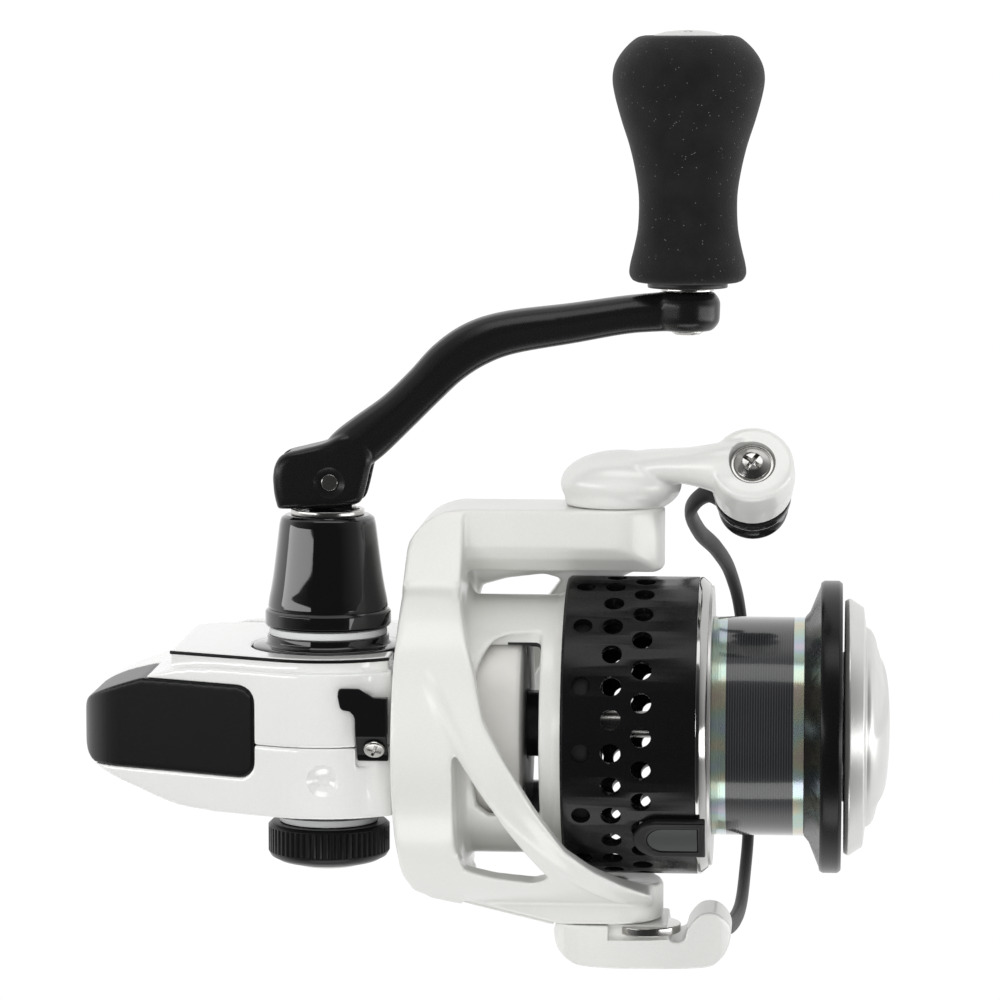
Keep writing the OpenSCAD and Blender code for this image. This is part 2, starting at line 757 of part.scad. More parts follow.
// the holder-side arm's outer face slopes in towards the rear
slope_from = [12.5, 24.8];
slope_to = [31.5, arm_b_y];
slope_angle = atan2(slope_to[1] - slope_from[1], slope_to[0] - slope_from[0]);
module on_slope() { translate([slope_from[0], slope_from[1], -axis_drop]) rotate(slope_angle) children(); }
module slope_cut() {
    translate([0, 0, -axis_drop - 20]) linear_extrude(40) polygon([
        [rotor_rear - 1, 19.6], [rotor_rear, 19.6], [9, 21.4], [10.2, 23.3], slope_from, slope_to,
        [slope_to[0], 32], [rotor_rear - 1, 32]]);
}

// shell strut on the near side, running forward to the holder-side arm
module strut() {
    difference() {
        intersection() {
            on_main(0) ring(50, strut_r, arm_in);
            translate([0, 0, -axis_drop - 30]) linear_extrude(30) polygon([
                [rotor_rear, -22], [17, -22], [18.8, -15], [20, -10.8], [21.4, -4.4],
                [24.1, 0.7], [28.7, 8.7], [33.1, 15.5], [36.8, 18.8], [41, 21.5], [45.4, 23.7],
                [45.4, 29], [rotor_rear, 29]]);
        }
        // triangular window
        translate([0, 0, -axis_drop - 40]) linear_extrude(45) polygon([
            [16.9, -1.9], [17.5, -1.9], [20.6, 5], [23.8, 10.9], [27, 15.5], [30.5, 20.3],
            [28, 21.3], [22.3, 20.4], [18.2, 19], [17, 15]]);
    }
}

// an arm: a slab with a round end, whose inner edges slope in towards the spool
module rotor_arm(y, inner) {
    s = sign(y);
    edge = 5.8;
    difference() {
        intersection() {
            union() {
                translate([rotor_rear, min(y, inner * s), -axis_drop - arm_end_r])
                    cube([bail_x - rotor_rear, abs(y) - inner, 2 * arm_end_r]);
                translate([bail_x, min(y, inner * s), -axis_drop]) rotate([-90, 0, 0])
                    cylinder(h = abs(y) - inner, r = arm_end_r);
            }
            translate([0, 0, -axis_drop]) rotate([90, 0, 90]) linear_extrude(60)
                scale([s, 1]) polygon([
                    [abs(y) + 1, -arm_end_r - 1], [abs(y) - edge, -arm_end_r - 1],
                    [abs(y) - edge, -arm_end_r], [abs(y) - edge - 1.6, -arm_end_r + 1],
                    [arm_in - 0.6, -3.4], [arm_in - 1, 0], [arm_in - 0.6, 3.4],
                    [abs(y) - edge - 1.6, arm_end_r - 1], [abs(y) - edge, arm_end_r],
                    [abs(y) - edge, arm_end_r + 1], [abs(y) + 1, arm_end_r + 1]]);
        }
        on_main(0) cylinder(h = 60, r = arm_in);
    }
}

// inner cup with its windows, front wall and hub
module rotor_cup() {
    difference() {
        on_main(0) rotate_extrude(angle = 360) polygon([
            [18.3, 17], [cup_r, 17], [cup_r, 36.6], [18.9, 36.6], [18.9, 32.4], [6, 32.4],
            [6, 32], [pinion_tube_r + 0.02, 32], [pinion_tube_r + 0.02, 24.8], [5, 24.8],
            [5, 29], [18.3, 29]]);
        for (s = [-1, 1]) translate([17.7, -15, s > 0 ? -axis_drop + 6 : -axis_drop - 30])
            cube([9.8, 27.5, 24]);
    }
}

module rotor_frame() color("whitesmoke") {
    difference() {
        union() {
            // rear frame round the neck
            on_main(rotor_rear) linear_extrude(8.6) rear_frame_outline();
            rotor_arm(arm_a_y, 21);
            rotor_arm(arm_b_y, 19);
            strut();
            // the roller-side arm has the same strut on the far side
            translate([0, 0, -axis_drop]) rotate([180, 0, 0]) translate([0, 0, axis_drop]) strut();
            rotor_cup();
        }
        on_main(rotor_rear - 1) cylinder(h = 12, r = 18.2);
        corner_cut();
        slope_cut();
        // recess for the bail spring and the kick lever
        on_slope() translate([9.6, -3, -1.8]) cube([14, 5, 3.6]);
        translate([bail_x, arm_b_y - 3.7, -axis_drop]) rotate([-90, 0, 0]) cylinder(h = 5, r = 5.2);
        // pivot screws
        translate([bail_x, -40, -axis_drop]) rotate([-90, 0, 0]) cylinder(h = 80, r = 1.62);
    }
}

// rounds the outer rear corner of the roller-side arm
module corner_cut() {
    r = 6;
    difference() {
        translate([rotor_rear - 1, arm_a_y - 1, -axis_drop - 14]) cube([r + 1, r + 1, 28]);
        translate([rotor_rear + r, arm_a_y + r, -axis_drop - 15]) cylinder(h = 30, r = r);
    }
}

module pinion_gear() color("khaki") {
    difference() {
        union() {
            on_main(2) toothed(6.2, 3.3, pinion_teeth, 0.55, 1);
            on_main(8.1) cylinder(h = 28.2, r = pinion_tube_r);
        }
        on_main(-1) cylinder(h = 60, r = shaft_r + fit);
    }
}

module rotor_nut() color("silver") {
    on_main(32.45) difference() {
        cylinder(h = 3.2, r = 5.6, $fn = 6);
        translate([0, 0, -1]) cylinder(h = 6, r = pinion_tube_r + 0.02);
    }
}

module nut_retainer() color("silver") {
    difference() {
        union() {
            on_main(35.7) cylinder(h = 0.7, r = 6.6);
            translate([35.7, 0, -axis_drop - 1.5]) cube([0.7, 12.4, 3]);
            translate([32.45, 9.4, -axis_drop - 1.5]) cube([3.3, 3, 3]);
        }
        on_main(30) cylinder(h = 10, r = pinion_tube_r + 0.02);
    }
}

module bail_spring() color("silver") {
    turns = 9;
    steps = turns * 12;
    coil_r = 1.05;
    on_slope() tube([for (i = [0:steps]) let (a = i * turns * 360 / steps)
        [10.4 + 9.2 * i / steps, -1.5 + coil_r * cos(a), coil_r * sin(a)]], 0.28, 6);
}

module arm_cover() color("white") {
    on_slope() translate([0, 0.03, 0]) rotate([-90, 0, 0]) linear_extrude(0.8) union() {
        translate([6, -5]) square([12.6, 10]);
        translate([6, 0]) circle(r = 5);
    }
}

module pivot_screws() color("silver") {
    for (s = [-1, 1]) {
        y = s < 0 ? arm_a_y : arm_b_y;
        translate([bail_x, y, -axis_drop]) rotate([-90 * s, 0, 0]) difference() {
            union() {
                translate([0, 0, -5]) cylinder(h = 6, r = 1.6);
                cylinder(h = 4.6, r = 2.2);
                translate([0, 0, 4.6]) cylinder(h = 1, r = 2.9);
            }
            for (a = [0, 90]) rotate(a) translate([-1.5, -0.3, 5]) cube([3, 0.6, 1]);
        }
    }
}

// ---- bail ----

module on_bail(y) { translate([bail_x, y, -axis_drop]) rotate([-90, 0, 0]) children(); }

module kick_lever() color("silver") {
    on_bail(arm_b_y - 3.6) difference() {
        union() {
            cylinder(h = 2.9, r = 4.5);
            translate([-3.2, 0, 0]) cylinder(h = 3.4, r = 0.9);
        }
        translate([0, 0, -1]) cylinder(h = 6, r = 1.66);
    }
}

module bail_arm() color("whitesmoke") {
    difference() {
        union() {
            on_bail(arm_a_y - 3.4) cylinder(h = 3.35, r = arm_end_r);
            hull() {
                on_bail(arm_a_y - 3.6) cylinder(h = 0.4, r = 7.3, $fn = 32);
                on_bail(arm_a_y - 6.2) cylinder(h = 0.4, r = 5.2, $fn = 32);
                translate([50, -39, -axis_drop - 4.5]) sphere(r = 3.3, $fn = 24);
            }
            hull() {
                translate([49.5, -39.1, -axis_drop - 4.4]) sphere(r = 3.4, $fn = 24);
                on_roller(1.5) cylinder(h = 5, r = 5.4, $fn = 32);
            }
            on_roller(0) cylinder(h = boss_len, r = 6);
        }
        on_bail(-50) cylinder(h = 20, r = 2.25);
        on_bail(arm_a_y - 10) cylinder(h = 5.5, r = 2.95);
        on_roller(-1) cylinder(h = 2.2, r = 3.5);
        on_roller(-1) cylinder(h = 12, r = 1.72);
    }
}

module bail_holder() color("whitesmoke") {
    difference() {
        union() {
            on_bail(arm_b_y + 0.05) cylinder(h = 4.4, r = arm_end_r);
            hull() {
                on_bail(arm_b_y + 3) cylinder(h = 3, r = 6.6, $fn = 32);
                translate([53.5, 33.6, -axis_drop - 1.5]) sphere(r = 2.6, $fn = 24);
            }
            hull() {
                translate([53.5, 33.6, -axis_drop - 1.5]) sphere(r = 2.6, $fn = 24);
                translate([54.3, 30.9, -axis_drop + 2]) sphere(r = 3.1, $fn = 24);
            }
            hull() {
                translate([34, 31.5, -axis_drop - 3]) sphere(r = 2, $fn = 24);
                translate([34, 31.5, -axis_drop + 3]) sphere(r = 2, $fn = 24);
                on_bail(arm_b_y + 1.5) cylinder(h = 3, r = 6.8, $fn = 32);
            }
        }
        on_bail(20) cylinder(h = 20, r = 2.25);
        on_bail(arm_b_y + 4.55) cylinder(h = 10, r = 2.95);
        translate([bail_x - 20, arm_b_y - 10.05, -axis_drop - 20]) cube([28.5, 10.1, 40]);
        wire_bore();
    }
}

wire_path = [[56.8, -31.6, 6.2], [53.2, -34, 9.5], [50.2, -31, 15], [51.2, -26.5, 24],
    [53.7, -22.6, 33], [55.8, -17.6, 41.5], [57.4, -9.2, 47.5], [58.4, 8, 50.5], [58.8, 23, 47.2],
    [58.4, 30.2, 39.5], [57.8, 33.8, 28], [56.4, 34, 16], [54.6, 31.5, 5]];
function wire_points() = [for (p = smooth_path(wire_path, 5)) p + [0, 0, -axis_drop]];
wire_r = 1.35;

module wire_bore() { tube(wire_points(), wire_r + 0.06, 10); }

module bail_wire() color("dimgray") {
    tube(wire_points(), wire_r, 10);
    // cover on the far end of the roller, joined to the wire
    on_roller(boss_len + roller_len + 0.1) difference() {
        cylinder(h = 3, r1 = 5.2, r2 = 3.4);
        translate([0, 0, -1]) cylinder(h = 3, r = 1.72);
    }
}

module roller_screw() color("silver") {
    on_roller(0.1) difference() {
        union() {
            cylinder(h = 1.05, r = 3.4);
            cylinder(h = boss_len + roller_len + 1.8, r = 1.7);
        }
        for (a = [35, 125]) rotate(a) translate([-1.4, -0.35, -0.5]) cube([2.8, 0.7, 1.1]);
    }
}

module line_roller() color("dimgray") {
    on_roller(boss_len + 0.05) rotate_extrude(angle = 360) polygon([
        [1.75, 0], [5.7, 0], [5.75, 1], [5.2, 1.7], [4.4, 2.4], [4.4, 3.2], [5, 4], [5.2, 4.4],
        [5.2, roller_len - 0.05], [1.75, roller_len - 0.05]]);
}

body_housing();
side_cover();
rear_cover();
cover_screws();
handle_gasket();
handle_collar();
handle_seal();
cap_collar();
cap_seal();
front_boss();
boss_screws();
one_way_clutch();
drive_bearings();
pinion_bearing();
guide_rod();
anti_reverse_lever();
lever_screw();
drive_gear();
drive_shaft();
handle_shaft();
handle_base();
fold_washer();
fold_pin();
handle_cap();
cap_disc();
oscillation_gear();
handle_arm();
knob_shaft();
knob_grip();
knob_core();
knob_cap();
knob_bearings();
main_shaft();
slider_block();
slider_screw();
spool_body();
spool_skirt();
skirt_ring();
spool_label();
spool_lip();
line_clip();
clip_insert();
drag_washers();
drag_clip();
drag_knob();
drag_cap();
drag_spring();
rotor_frame();
pinion_gear();
rotor_nut();
nut_retainer();
bail_spring();
arm_cover();
pivot_screws();
kick_lever();
bail_arm();
bail_holder();
bail_wire();
roller_screw();
line_roller();
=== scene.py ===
# Front-drag spinning reel: how it looks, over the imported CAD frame.
import json
import math

import bmesh
import bpy
from mathutils import Matrix, Vector


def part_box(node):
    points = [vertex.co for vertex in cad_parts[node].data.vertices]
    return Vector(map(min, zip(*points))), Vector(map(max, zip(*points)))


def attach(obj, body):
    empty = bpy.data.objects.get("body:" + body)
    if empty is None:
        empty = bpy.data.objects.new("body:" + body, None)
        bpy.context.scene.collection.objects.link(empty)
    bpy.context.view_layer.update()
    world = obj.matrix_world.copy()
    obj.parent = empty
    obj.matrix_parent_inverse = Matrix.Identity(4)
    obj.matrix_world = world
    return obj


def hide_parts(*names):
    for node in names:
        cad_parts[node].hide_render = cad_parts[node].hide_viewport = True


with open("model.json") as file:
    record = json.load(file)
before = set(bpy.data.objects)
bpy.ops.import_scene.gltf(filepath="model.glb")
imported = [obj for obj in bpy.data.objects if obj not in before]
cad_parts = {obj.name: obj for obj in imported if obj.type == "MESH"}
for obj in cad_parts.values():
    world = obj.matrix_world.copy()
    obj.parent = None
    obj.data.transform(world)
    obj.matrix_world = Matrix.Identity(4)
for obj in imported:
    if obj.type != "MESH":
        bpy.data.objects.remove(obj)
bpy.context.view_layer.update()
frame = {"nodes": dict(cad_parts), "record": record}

MM = 0.001
BODY_OF = {node: body for body, nodes in frame["record"]["behaviour"]["bodies"].items() for node in nodes}
SLOT_OF = {part["node"]: part["material_slot"] for part in frame["record"]["subparts"]}


def mm(x, y, z):
    return Vector((x, y, z)) * MM


def middle(node):
    low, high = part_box(node)
    return (low + high) / 2


SHAFT = middle("main_shaft")        # a point on the main shaft's line, along X
DRIVE = middle("drive_shaft")       # a point on the drive shaft's line, along Y
KNOB = middle("knob_shaft")         # a point on the knob's line, along Y
PIVOT = middle("pivot_screws")      # a point on the bail's line, along Y
ROLLER_TILT = math.radians(33)
ROLLER_LINE = Vector((0, math.sin(ROLLER_TILT), math.cos(ROLLER_TILT)))
ROLLER_FACE = middle("roller_screw") / MM - ROLLER_LINE * 7.85      # in mm, where the screw's head sits


# ---- camera, floor and light ----


def add_camera():
    """The photo's view: from below the reel, with the handle up."""
    data = bpy.data.cameras.new("camera")
    data.sensor_width = 36
    data.lens = 157.4
    data.clip_end = 20
    camera = bpy.data.objects.new("camera", data)
    bpy.context.scene.collection.objects.link(camera)
    target = mm(22, -33.8, -62)
    place = mm(70, -108, -712)
    forward = (target - place).normalized()
    right = forward.cross(Vector((0, -1, 0))).normalized()
    up = right.cross(forward)
    turn = Matrix((right, up, -forward)).transposed().to_4x4()
    camera.matrix_world = Matrix.Translation(place) @ turn
    bpy.context.scene.camera = camera


def add_panel(name, place, width, height, watts, glossy=True):
    """A soft rectangular lamp that faces the reel's middle."""
    data = bpy.data.lights.new(name, "AREA")
    data.shape = "RECTANGLE"
    data.size, data.size_y = width, height
    data.energy = watts
    lamp = bpy.data.objects.new(name, data)
    bpy.context.scene.collection.objects.link(lamp)
    lamp.location = place
    aim = middle("rotor_frame") - Vector(place)
    lamp.rotation_mode = "QUATERNION"
    lamp.rotation_quaternion = aim.to_track_quat("-Z", "Y")
    lamp.visible_camera = False
    lamp.visible_glossy = glossy


def add_world():
    """A white tent, darker below, where the reel is seen from."""
    world = bpy.data.worlds.new("tent")
    world.use_nodes = True
    bpy.context.scene.world = world
    tree = world.node_tree
    place = tree.nodes.new("ShaderNodeTexCoord")
    split = tree.nodes.new("ShaderNodeSeparateXYZ")
    ramp = tree.nodes.new("ShaderNodeValToRGB")
    lift = tree.nodes.new("ShaderNodeMath")
    lift.operation = "MULTIPLY_ADD"
    lift.inputs[1].default_value = 0.5
    lift.inputs[2].default_value = 0.5
    stops = ramp.color_ramp.elements
    stops.new(0.4)
    for stop, (position, grey) in zip(stops, ((0.08, 0.04), (0.4, 0.32), (0.58, 1.02))):
        stop.position = position
        stop.color = (grey, grey, grey, 1)
    tree.links.new(place.outputs["Generated"], split.inputs[0])
    tree.links.new(split.outputs["Z"], lift.inputs[0])
    tree.links.new(lift.outputs[0], ramp.inputs[0])
    tree.links.new(ramp.outputs["Color"], tree.nodes["Background"].inputs["Color"])


def add_stage():
    half, level = 8, -1.25
    data = bpy.data.meshes.new("floor")
    corners = [(x * half, y * half, level) for x, y in ((-1, -1), (1, -1), (1, 1), (-1, 1))]
    data.from_pydata(corners, [], [(0, 1, 2, 3)])
    floor = bpy.data.objects.new("floor", data)
    bpy.context.scene.collection.objects.link(floor)
    floor.visible_diffuse = False
    floor.visible_glossy = False
    data.materials.append(painted("floor_paint", (0.97, 0.97, 0.965), 0.9, 6, 0.02, drift=0.01))
    add_world()
    add_panel("front_fill", (-0.05, -0.2, -1.1), 1.3, 1.3, 11.2, glossy=False)
    add_panel("left_strip", (-0.78, -0.1, -0.5), 0.16, 1.2, 2.0)
    add_panel("right_strip", (0.9, 0.1, -0.25), 0.2, 1.2, 2.2)
    add_panel("top_panel", (0.1, -0.9, -0.45), 1.0, 0.35, 1.8)
    add_panel("low_panel", (0.1, 0.85, -0.5), 1.0, 0.35, 2.2)
    bpy.context.scene.view_settings.view_transform = "Standard"


# ---- materials ----


class Paint:
    """A Principled material and short ways to add nodes to it."""

    def __init__(self, name):
        self.material = bpy.data.materials.new(name)
        self.material.use_nodes = True
        self.tree = self.material.node_tree
        self.shader = self.tree.nodes["Principled BSDF"]
        self.place = self.tree.nodes.new("ShaderNodeTexCoord").outputs["Object"]

    def set(self, **values):
        for name, value in values.items():
            self.shader.inputs[name.replace("_", " ")].default_value = value

    def link(self, source, target):
        self.tree.links.new(source, self.shader.inputs[target])

    def feed(self, value, target):
        """Puts a number into a node's input, or links a node's output to it."""
        if isinstance(value, (int, float)):
            target.default_value = value
        else:
            self.tree.links.new(value, target)

    def math(self, operation, a, b=0.0, c=0.0):
        node = self.tree.nodes.new("ShaderNodeMath")
        node.operation = operation
        for value, target in zip((a, b, c), node.inputs):
            self.feed(value, target)
        return node.outputs[0]

    def axes(self):
        node = self.tree.nodes.new("ShaderNodeSeparateXYZ")
        self.tree.links.new(self.place, node.inputs[0])
        return node.outputs

    def length(self, a, b):
        squares = [self.math("MULTIPLY", value, value) for value in (a, b)]
        return self.math("SQRT", self.math("ADD", *squares))

    def vector(self, x, y, z):
        node = self.tree.nodes.new("ShaderNodeCombineXYZ")
        for value, target in zip((x, y, z), node.inputs):
            self.feed(value, target)
        return node.outputs[0]

    def noise(self, size, detail=2.0, place=None):
        """Noise whose features measure about size, in metres."""
        node = self.tree.nodes.new("ShaderNodeTexNoise")
        node.inputs["Scale"].default_value = 1 / size
        node.inputs["Detail"].default_value = detail
        self.tree.links.new(place or self.place, node.inputs["Vector"])
        return node.outputs["Fac"]

    def cells(self, size):
        node = self.tree.nodes.new("ShaderNodeTexVoronoi")
        node.inputs["Scale"].default_value = 1 / size
        self.tree.links.new(self.place, node.inputs["Vector"])
        return node.outputs

    def ramp(self, factor, *stops):
        """A colour ramp; each stop is (position, colour)."""
        node = self.tree.nodes.new("ShaderNodeValToRGB")
        elements = node.color_ramp.elements
        while len(elements) < len(stops):
            elements.new(0.5)
        for element, (position, colour) in zip(elements, stops):
            element.position = position
            element.color = colour if len(colour) == 4 else (*colour, 1)
        self.tree.links.new(factor, node.inputs[0])
        return node.outputs["Color"]

    def spread(self, factor, low, high):
        node = self.tree.nodes.new("ShaderNodeMapRange")
        node.inputs["To Min"].default_value = low
        node.inputs["To Max"].default_value = high
        self.tree.links.new(factor, node.inputs["Value"])
        return node.outputs["Result"]

    def mix(self, factor, a, b, blend="MIX"):
        node = self.tree.nodes.new("ShaderNodeMix")
        node.data_type = "RGBA"
        node.blend_type = blend
        for socket, value in (("Factor", factor), ("A", a), ("B", b)):
            target = [s for s in node.inputs if s.name == socket and s.enabled][0]
            if isinstance(value, tuple):
                target.default_value = (*value, 1)
            else:
                self.feed(value, target)
        return [s for s in node.outputs if s.enabled][0]

    def bump(self, height, depth, strength=1.0):
        node = self.tree.nodes.new("ShaderNodeBump")
        node.inputs["Strength"].default_value = strength
        node.inputs["Distance"].default_value = depth
        self.tree.links.new(height, node.inputs["Height"])
        self.link(node.outputs["Normal"], "Normal")


def shade(colour, factor):
    return tuple(c * factor for c in colour)


def painted(name, colour, rough, grain_mm, bump_mm, metal=0.0, coat=0.0, drift=0.06, specular=0.5):
    """A finish whose colour and roughness drift a little, with a fine grain of its own."""
    paint = Paint(name)
    slow = paint.noise(9 * MM, 3)
    grain = paint.noise(grain_mm * MM, 4)
    tone = paint.ramp(slow, (0.25, shade(colour, 1 - drift)), (0.75, shade(colour, 1 + drift / 3)))
    paint.link(tone, "Base Color")
    paint.link(paint.spread(grain, rough * 0.8, rough * 1.2), "Roughness")
    paint.bump(grain, bump_mm * MM)
    paint.set(Metallic=metal, Coat_Weight=coat, Coat_Roughness=0.05, Specular_IOR_Level=specular)
    return paint.material


def pearl(name, colour, rough, coat, shade_mask=None):
    """White paint with fine flakes under a clear coat, and painted shade, near black, where the shade mask says.
    """
    paint = Paint(name)
    flakes = paint.cells(0.14 * MM)
    slow = paint.noise(14 * MM, 2)
    body = paint.ramp(slow, (0.3, shade(colour, 0.97)), (0.7, colour))
    spark = paint.ramp(flakes["Color"], (0.0, (0.86, 0.86, 0.84)), (1.0, (1, 1, 1)))
    flaked = paint.mix(0.35, body, spark, "MULTIPLY")
    if shade_mask:
        # painted shade: near black on the cup's shaded parts under the skirt
        flaked = paint.mix(shade_mask(paint), flaked, (0.02, 0.02, 0.021))
    paint.link(flaked, "Base Color")
    paint.link(paint.spread(paint.noise(0.5 * MM, 3), rough * 0.85, rough * 1.15), "Roughness")
    paint.bump(paint.noise(0.35 * MM, 3), 0.004 * MM)
    paint.set(Metallic=0.12, Coat_Weight=coat, Coat_Roughness=0.06, Sheen_Weight=0.05)
    return paint.material


def under_skirt_shade(paint):
    """A mask of painted shade: one on the cup where the skirt slides over it and at the back of its inside,
    where these lie in shade, for the paint to darken there.
    """
    x, y, z = paint.axes()
    radius = paint.length(paint.math("SUBTRACT", y, SHAFT.y), paint.math("SUBTRACT", z, SHAFT.z))

    def core(start, reach):
        ahead, within = paint.math("GREATER_THAN", x, start), paint.math("LESS_THAN", radius, reach)
        return paint.math("MULTIPLY", ahead, within)
    skirt_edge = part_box("spool_skirt")[0].x
    return paint.math("MAXIMUM", core(skirt_edge, 21 * MM), core(24 * MM, 18 * MM))


def turned(name, colour, rough, metal=1.0, bump_mm=0.004, coat=0.0):
    """Metal turned on a lathe: fine rings round the main shaft's line."""
    paint = Paint(name)
    x, y, z = paint.axes()
    radius = paint.length(paint.math("SUBTRACT", y, SHAFT.y), paint.math("SUBTRACT", z, SHAFT.z))
    rings = paint.noise(0.12 * MM, 2, paint.vector(x, radius, 0.0))
    slow = paint.noise(6 * MM, 2)
    paint.link(paint.ramp(slow, (0.3, shade(colour, 0.93)), (0.7, colour)), "Base Color")
    paint.link(paint.spread(rings, rough * 0.7, rough * 1.3), "Roughness")
    paint.bump(rings, bump_mm * MM)
    paint.set(Metallic=metal, Coat_Weight=coat)
    return paint.material


def foam(name):
    """Moulded EVA: matt black, finely pored, with pale specks."""
    paint = Paint(name)
    specks = paint.cells(0.55 * MM)
    near = paint.math("LESS_THAN", specks["Distance"], 0.13)
    chosen = paint.math("GREATER_THAN", paint.noise(1.4 * MM, 0), 0.56)
    mask = paint.math("MULTIPLY", near, chosen)
    slow = paint.noise(4 * MM, 3)
    base = paint.ramp(slow, (0.3, (0.006, 0.006, 0.0062)), (0.7, (0.011, 0.011, 0.0115)))
    paint.link(paint.mix(mask, base, (0.16, 0.16, 0.16)), "Base Color")
    pores = paint.noise(0.28 * MM, 5)
    paint.bump(pores, 0.06 * MM)
    paint.link(paint.spread(pores, 0.8, 1.0), "Roughness")
    paint.set(Sheen_Weight=0.12, Sheen_Roughness=0.5, Specular_IOR_Level=0.25)
    return paint.material


def line_label(name):
    """Printed sleeve: fine ring lines on dark film, with a shifting foil band at each end."""
    low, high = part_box("spool_label")
    paint = Paint(name)
    x, y, z = paint.axes()
    along = paint.math("DIVIDE", paint.math("SUBTRACT", x, low.x), high.x - low.x)
    angle = paint.math("ARCTAN2", paint.math("SUBTRACT", z, SHAFT.z), paint.math("SUBTRACT", y, SHAFT.y))
    wave = paint.math("SINE", paint.math("MULTIPLY", x, 2 * math.pi / (0.38 * MM)))
    line = paint.math("SMOOTH_MIN", paint.math("MULTIPLY", paint.math("ADD", wave, 1.0), 0.5), 1.0, 0.1)
    dark = paint.mix(paint.math("POWER", line, 3.0), (0.016, 0.017, 0.019), (0.046, 0.048, 0.051))
    around = paint.vector(paint.math("MULTIPLY", angle, 6.0), paint.math("MULTIPLY", along, 3.0), 0.0)
    shimmer = paint.noise(2.2, 2, around)
    foil = paint.ramp(shimmer, (0.30, (0.58, 0.46, 0.44)), (0.42, (0.56, 0.55, 0.40)),
                      (0.52, (0.42, 0.56, 0.48)), (0.62, (0.42, 0.50, 0.58)), (0.74, (0.58, 0.50, 0.58)))
    band = paint.math("ADD", paint.math("LESS_THAN", along, 0.155), paint.math("GREATER_THAN", along, 0.886))
    paint.link(paint.mix(band, dark, foil), "Base Color")
    paint.link(paint.math("MULTIPLY", band, 0.75), "Metallic")
    paint.link(paint.spread(paint.noise(0.4 * MM), 0.12, 0.2), "Roughness")
    paint.bump(line, 0.01 * MM, 0.4)
    paint.set(Coat_Weight=0.6, Coat_Roughness=0.04)
    return paint.material


def make_materials():
    white = (0.80, 0.80, 0.775)
    return {
        "body_paint": pearl("body_paint", (0.86, 0.865, 0.85), 0.22, 0.8),
        # the rotor's white, with painted shade on the cup under the skirt
        "rotor_paint": pearl("rotor_paint", white, 0.36, 0.35, under_skirt_shade),
        "bail_paint": pearl("bail_paint", (0.81, 0.81, 0.79), 0.33, 0.35),
        "cover_black": painted("cover_black", (0.004, 0.004, 0.0045), 0.3, 0.3, 0.006, specular=0.3),
        "gloss_black": painted("gloss_black", (0.004, 0.004, 0.0045), 0.06, 0.6, 0.001, coat=0.6),
        "arm_black": painted("arm_black", (0.006, 0.006, 0.006), 0.27, 0.35, 0.005, specular=0.45),
        "cap_black": painted("cap_black", (0.006, 0.006, 0.0065), 0.32, 0.25, 0.006, specular=0.35),
        "seal_grey": painted("seal_grey", (0.72, 0.73, 0.73), 0.4, 0.4, 0.004),
        "boss_silver": painted("boss_silver", (0.80, 0.79, 0.755), 0.45, 0.22, 0.02, metal=0.25, drift=0.1),
        "steel": painted("steel", (0.62, 0.61, 0.59), 0.2, 0.3, 0.003, metal=1.0),
        "gear_metal": painted("gear_metal", (0.55, 0.50, 0.40), 0.3, 0.3, 0.006, metal=1.0),
        "brass": painted("brass", (0.72, 0.52, 0.24), 0.24, 0.3, 0.004, metal=1.0),
        "foam": foam("foam"),
        "knob_black": painted("knob_black", (0.012, 0.012, 0.012), 0.35, 0.3, 0.006),
        "satin_silver": turned("satin_silver", (0.69, 0.69, 0.675), 0.34, coat=0.1, metal=0.85),
        "skirt_black": painted("skirt_black", (0.004, 0.004, 0.0045), 0.26, 0.5, 0.002, specular=0.3),
        "polished": turned("polished", (0.46, 0.46, 0.45), 0.1, bump_mm=0.001),
        "label": line_label("label"),
        "clip_black": painted("clip_black", (0.006, 0.006, 0.006), 0.3, 0.3, 0.006, specular=0.3),
        "clip_grey": painted("clip_grey", (0.022, 0.025, 0.024), 0.35, 0.3, 0.008),
        "felt": painted("felt", (0.30, 0.28, 0.25), 0.95, 0.2, 0.05, drift=0.2),
        "wire_grey": painted("wire_grey", (0.006, 0.006, 0.0058), 0.42, 0.4, 0.004, specular=0.2),
        "roller_dark": painted("roller_dark", (0.012, 0.012, 0.013), 0.15, 0.4, 0.003, coat=0.4),
    }


# ---- shapes ----


def through(rows, steps):
    """Rows of numbers with a smooth curve put through them."""
    rows = [Vector(row) for row in rows]
    out = []
    for i in range(len(rows) - 1):
        a, b = rows[max(i - 1, 0)], rows[i]
        c, d = rows[i + 1], rows[min(i + 2, len(rows) - 1)]
        for k in range(steps):
            t = k / steps
            out.append(0.5 * (2 * b + (c - a) * t + (2 * a - 5 * b + 4 * c - d) * t * t
                              + (3 * b - a - 3 * c + d) * t ** 3))
    out.append(rows[-1])
    return out


def curve(points, steps):
    """(a, b) points with a smooth curve put through them."""
    return [tuple(point) for point in through(points, steps)]


def filleted(corners):
    """An outline of (a, b, radius) corners, each run out in a small arc."""
    out, steps = [], 5
    for i, (a, b, radius) in enumerate(corners):
        here = Vector((a, b))
        back = Vector(corners[i - 1][:2]) - here
        ahead = Vector(corners[(i + 1) % len(corners)][:2]) - here
        if radius == 0:
            out.append(here)
            continue
        reach = min(radius / math.tan(back.angle(ahead) / 2), back.length * 0.49, ahead.length * 0.49)
        start, end = here + back.normalized() * reach, here + ahead.normalized() * reach
        for k in range(steps + 1):
            t = k / steps
            out.append(start * (1 - t) ** 2 + here * 2 * t * (1 - t) + end * t * t)
    return out


def closed_grid(bm, rings, caps):
    """Faces between rings of points, and over the first and last ring if asked."""
    rows = [[bm.verts.new(point) for point in ring] for ring in rings]
    count = len(rows[0])
    pairs = list(zip(rows, rows[1:]))
    if not caps:
        pairs.append((rows[-1], rows[0]))
    for low, high in pairs:
        for k in range(count):
            bm.faces.new((low[k], low[(k + 1) % count], high[(k + 1) % count], high[k]))
    if caps:
        bm.faces.new(list(reversed(rows[0])))
        bm.faces.new(rows[-1])


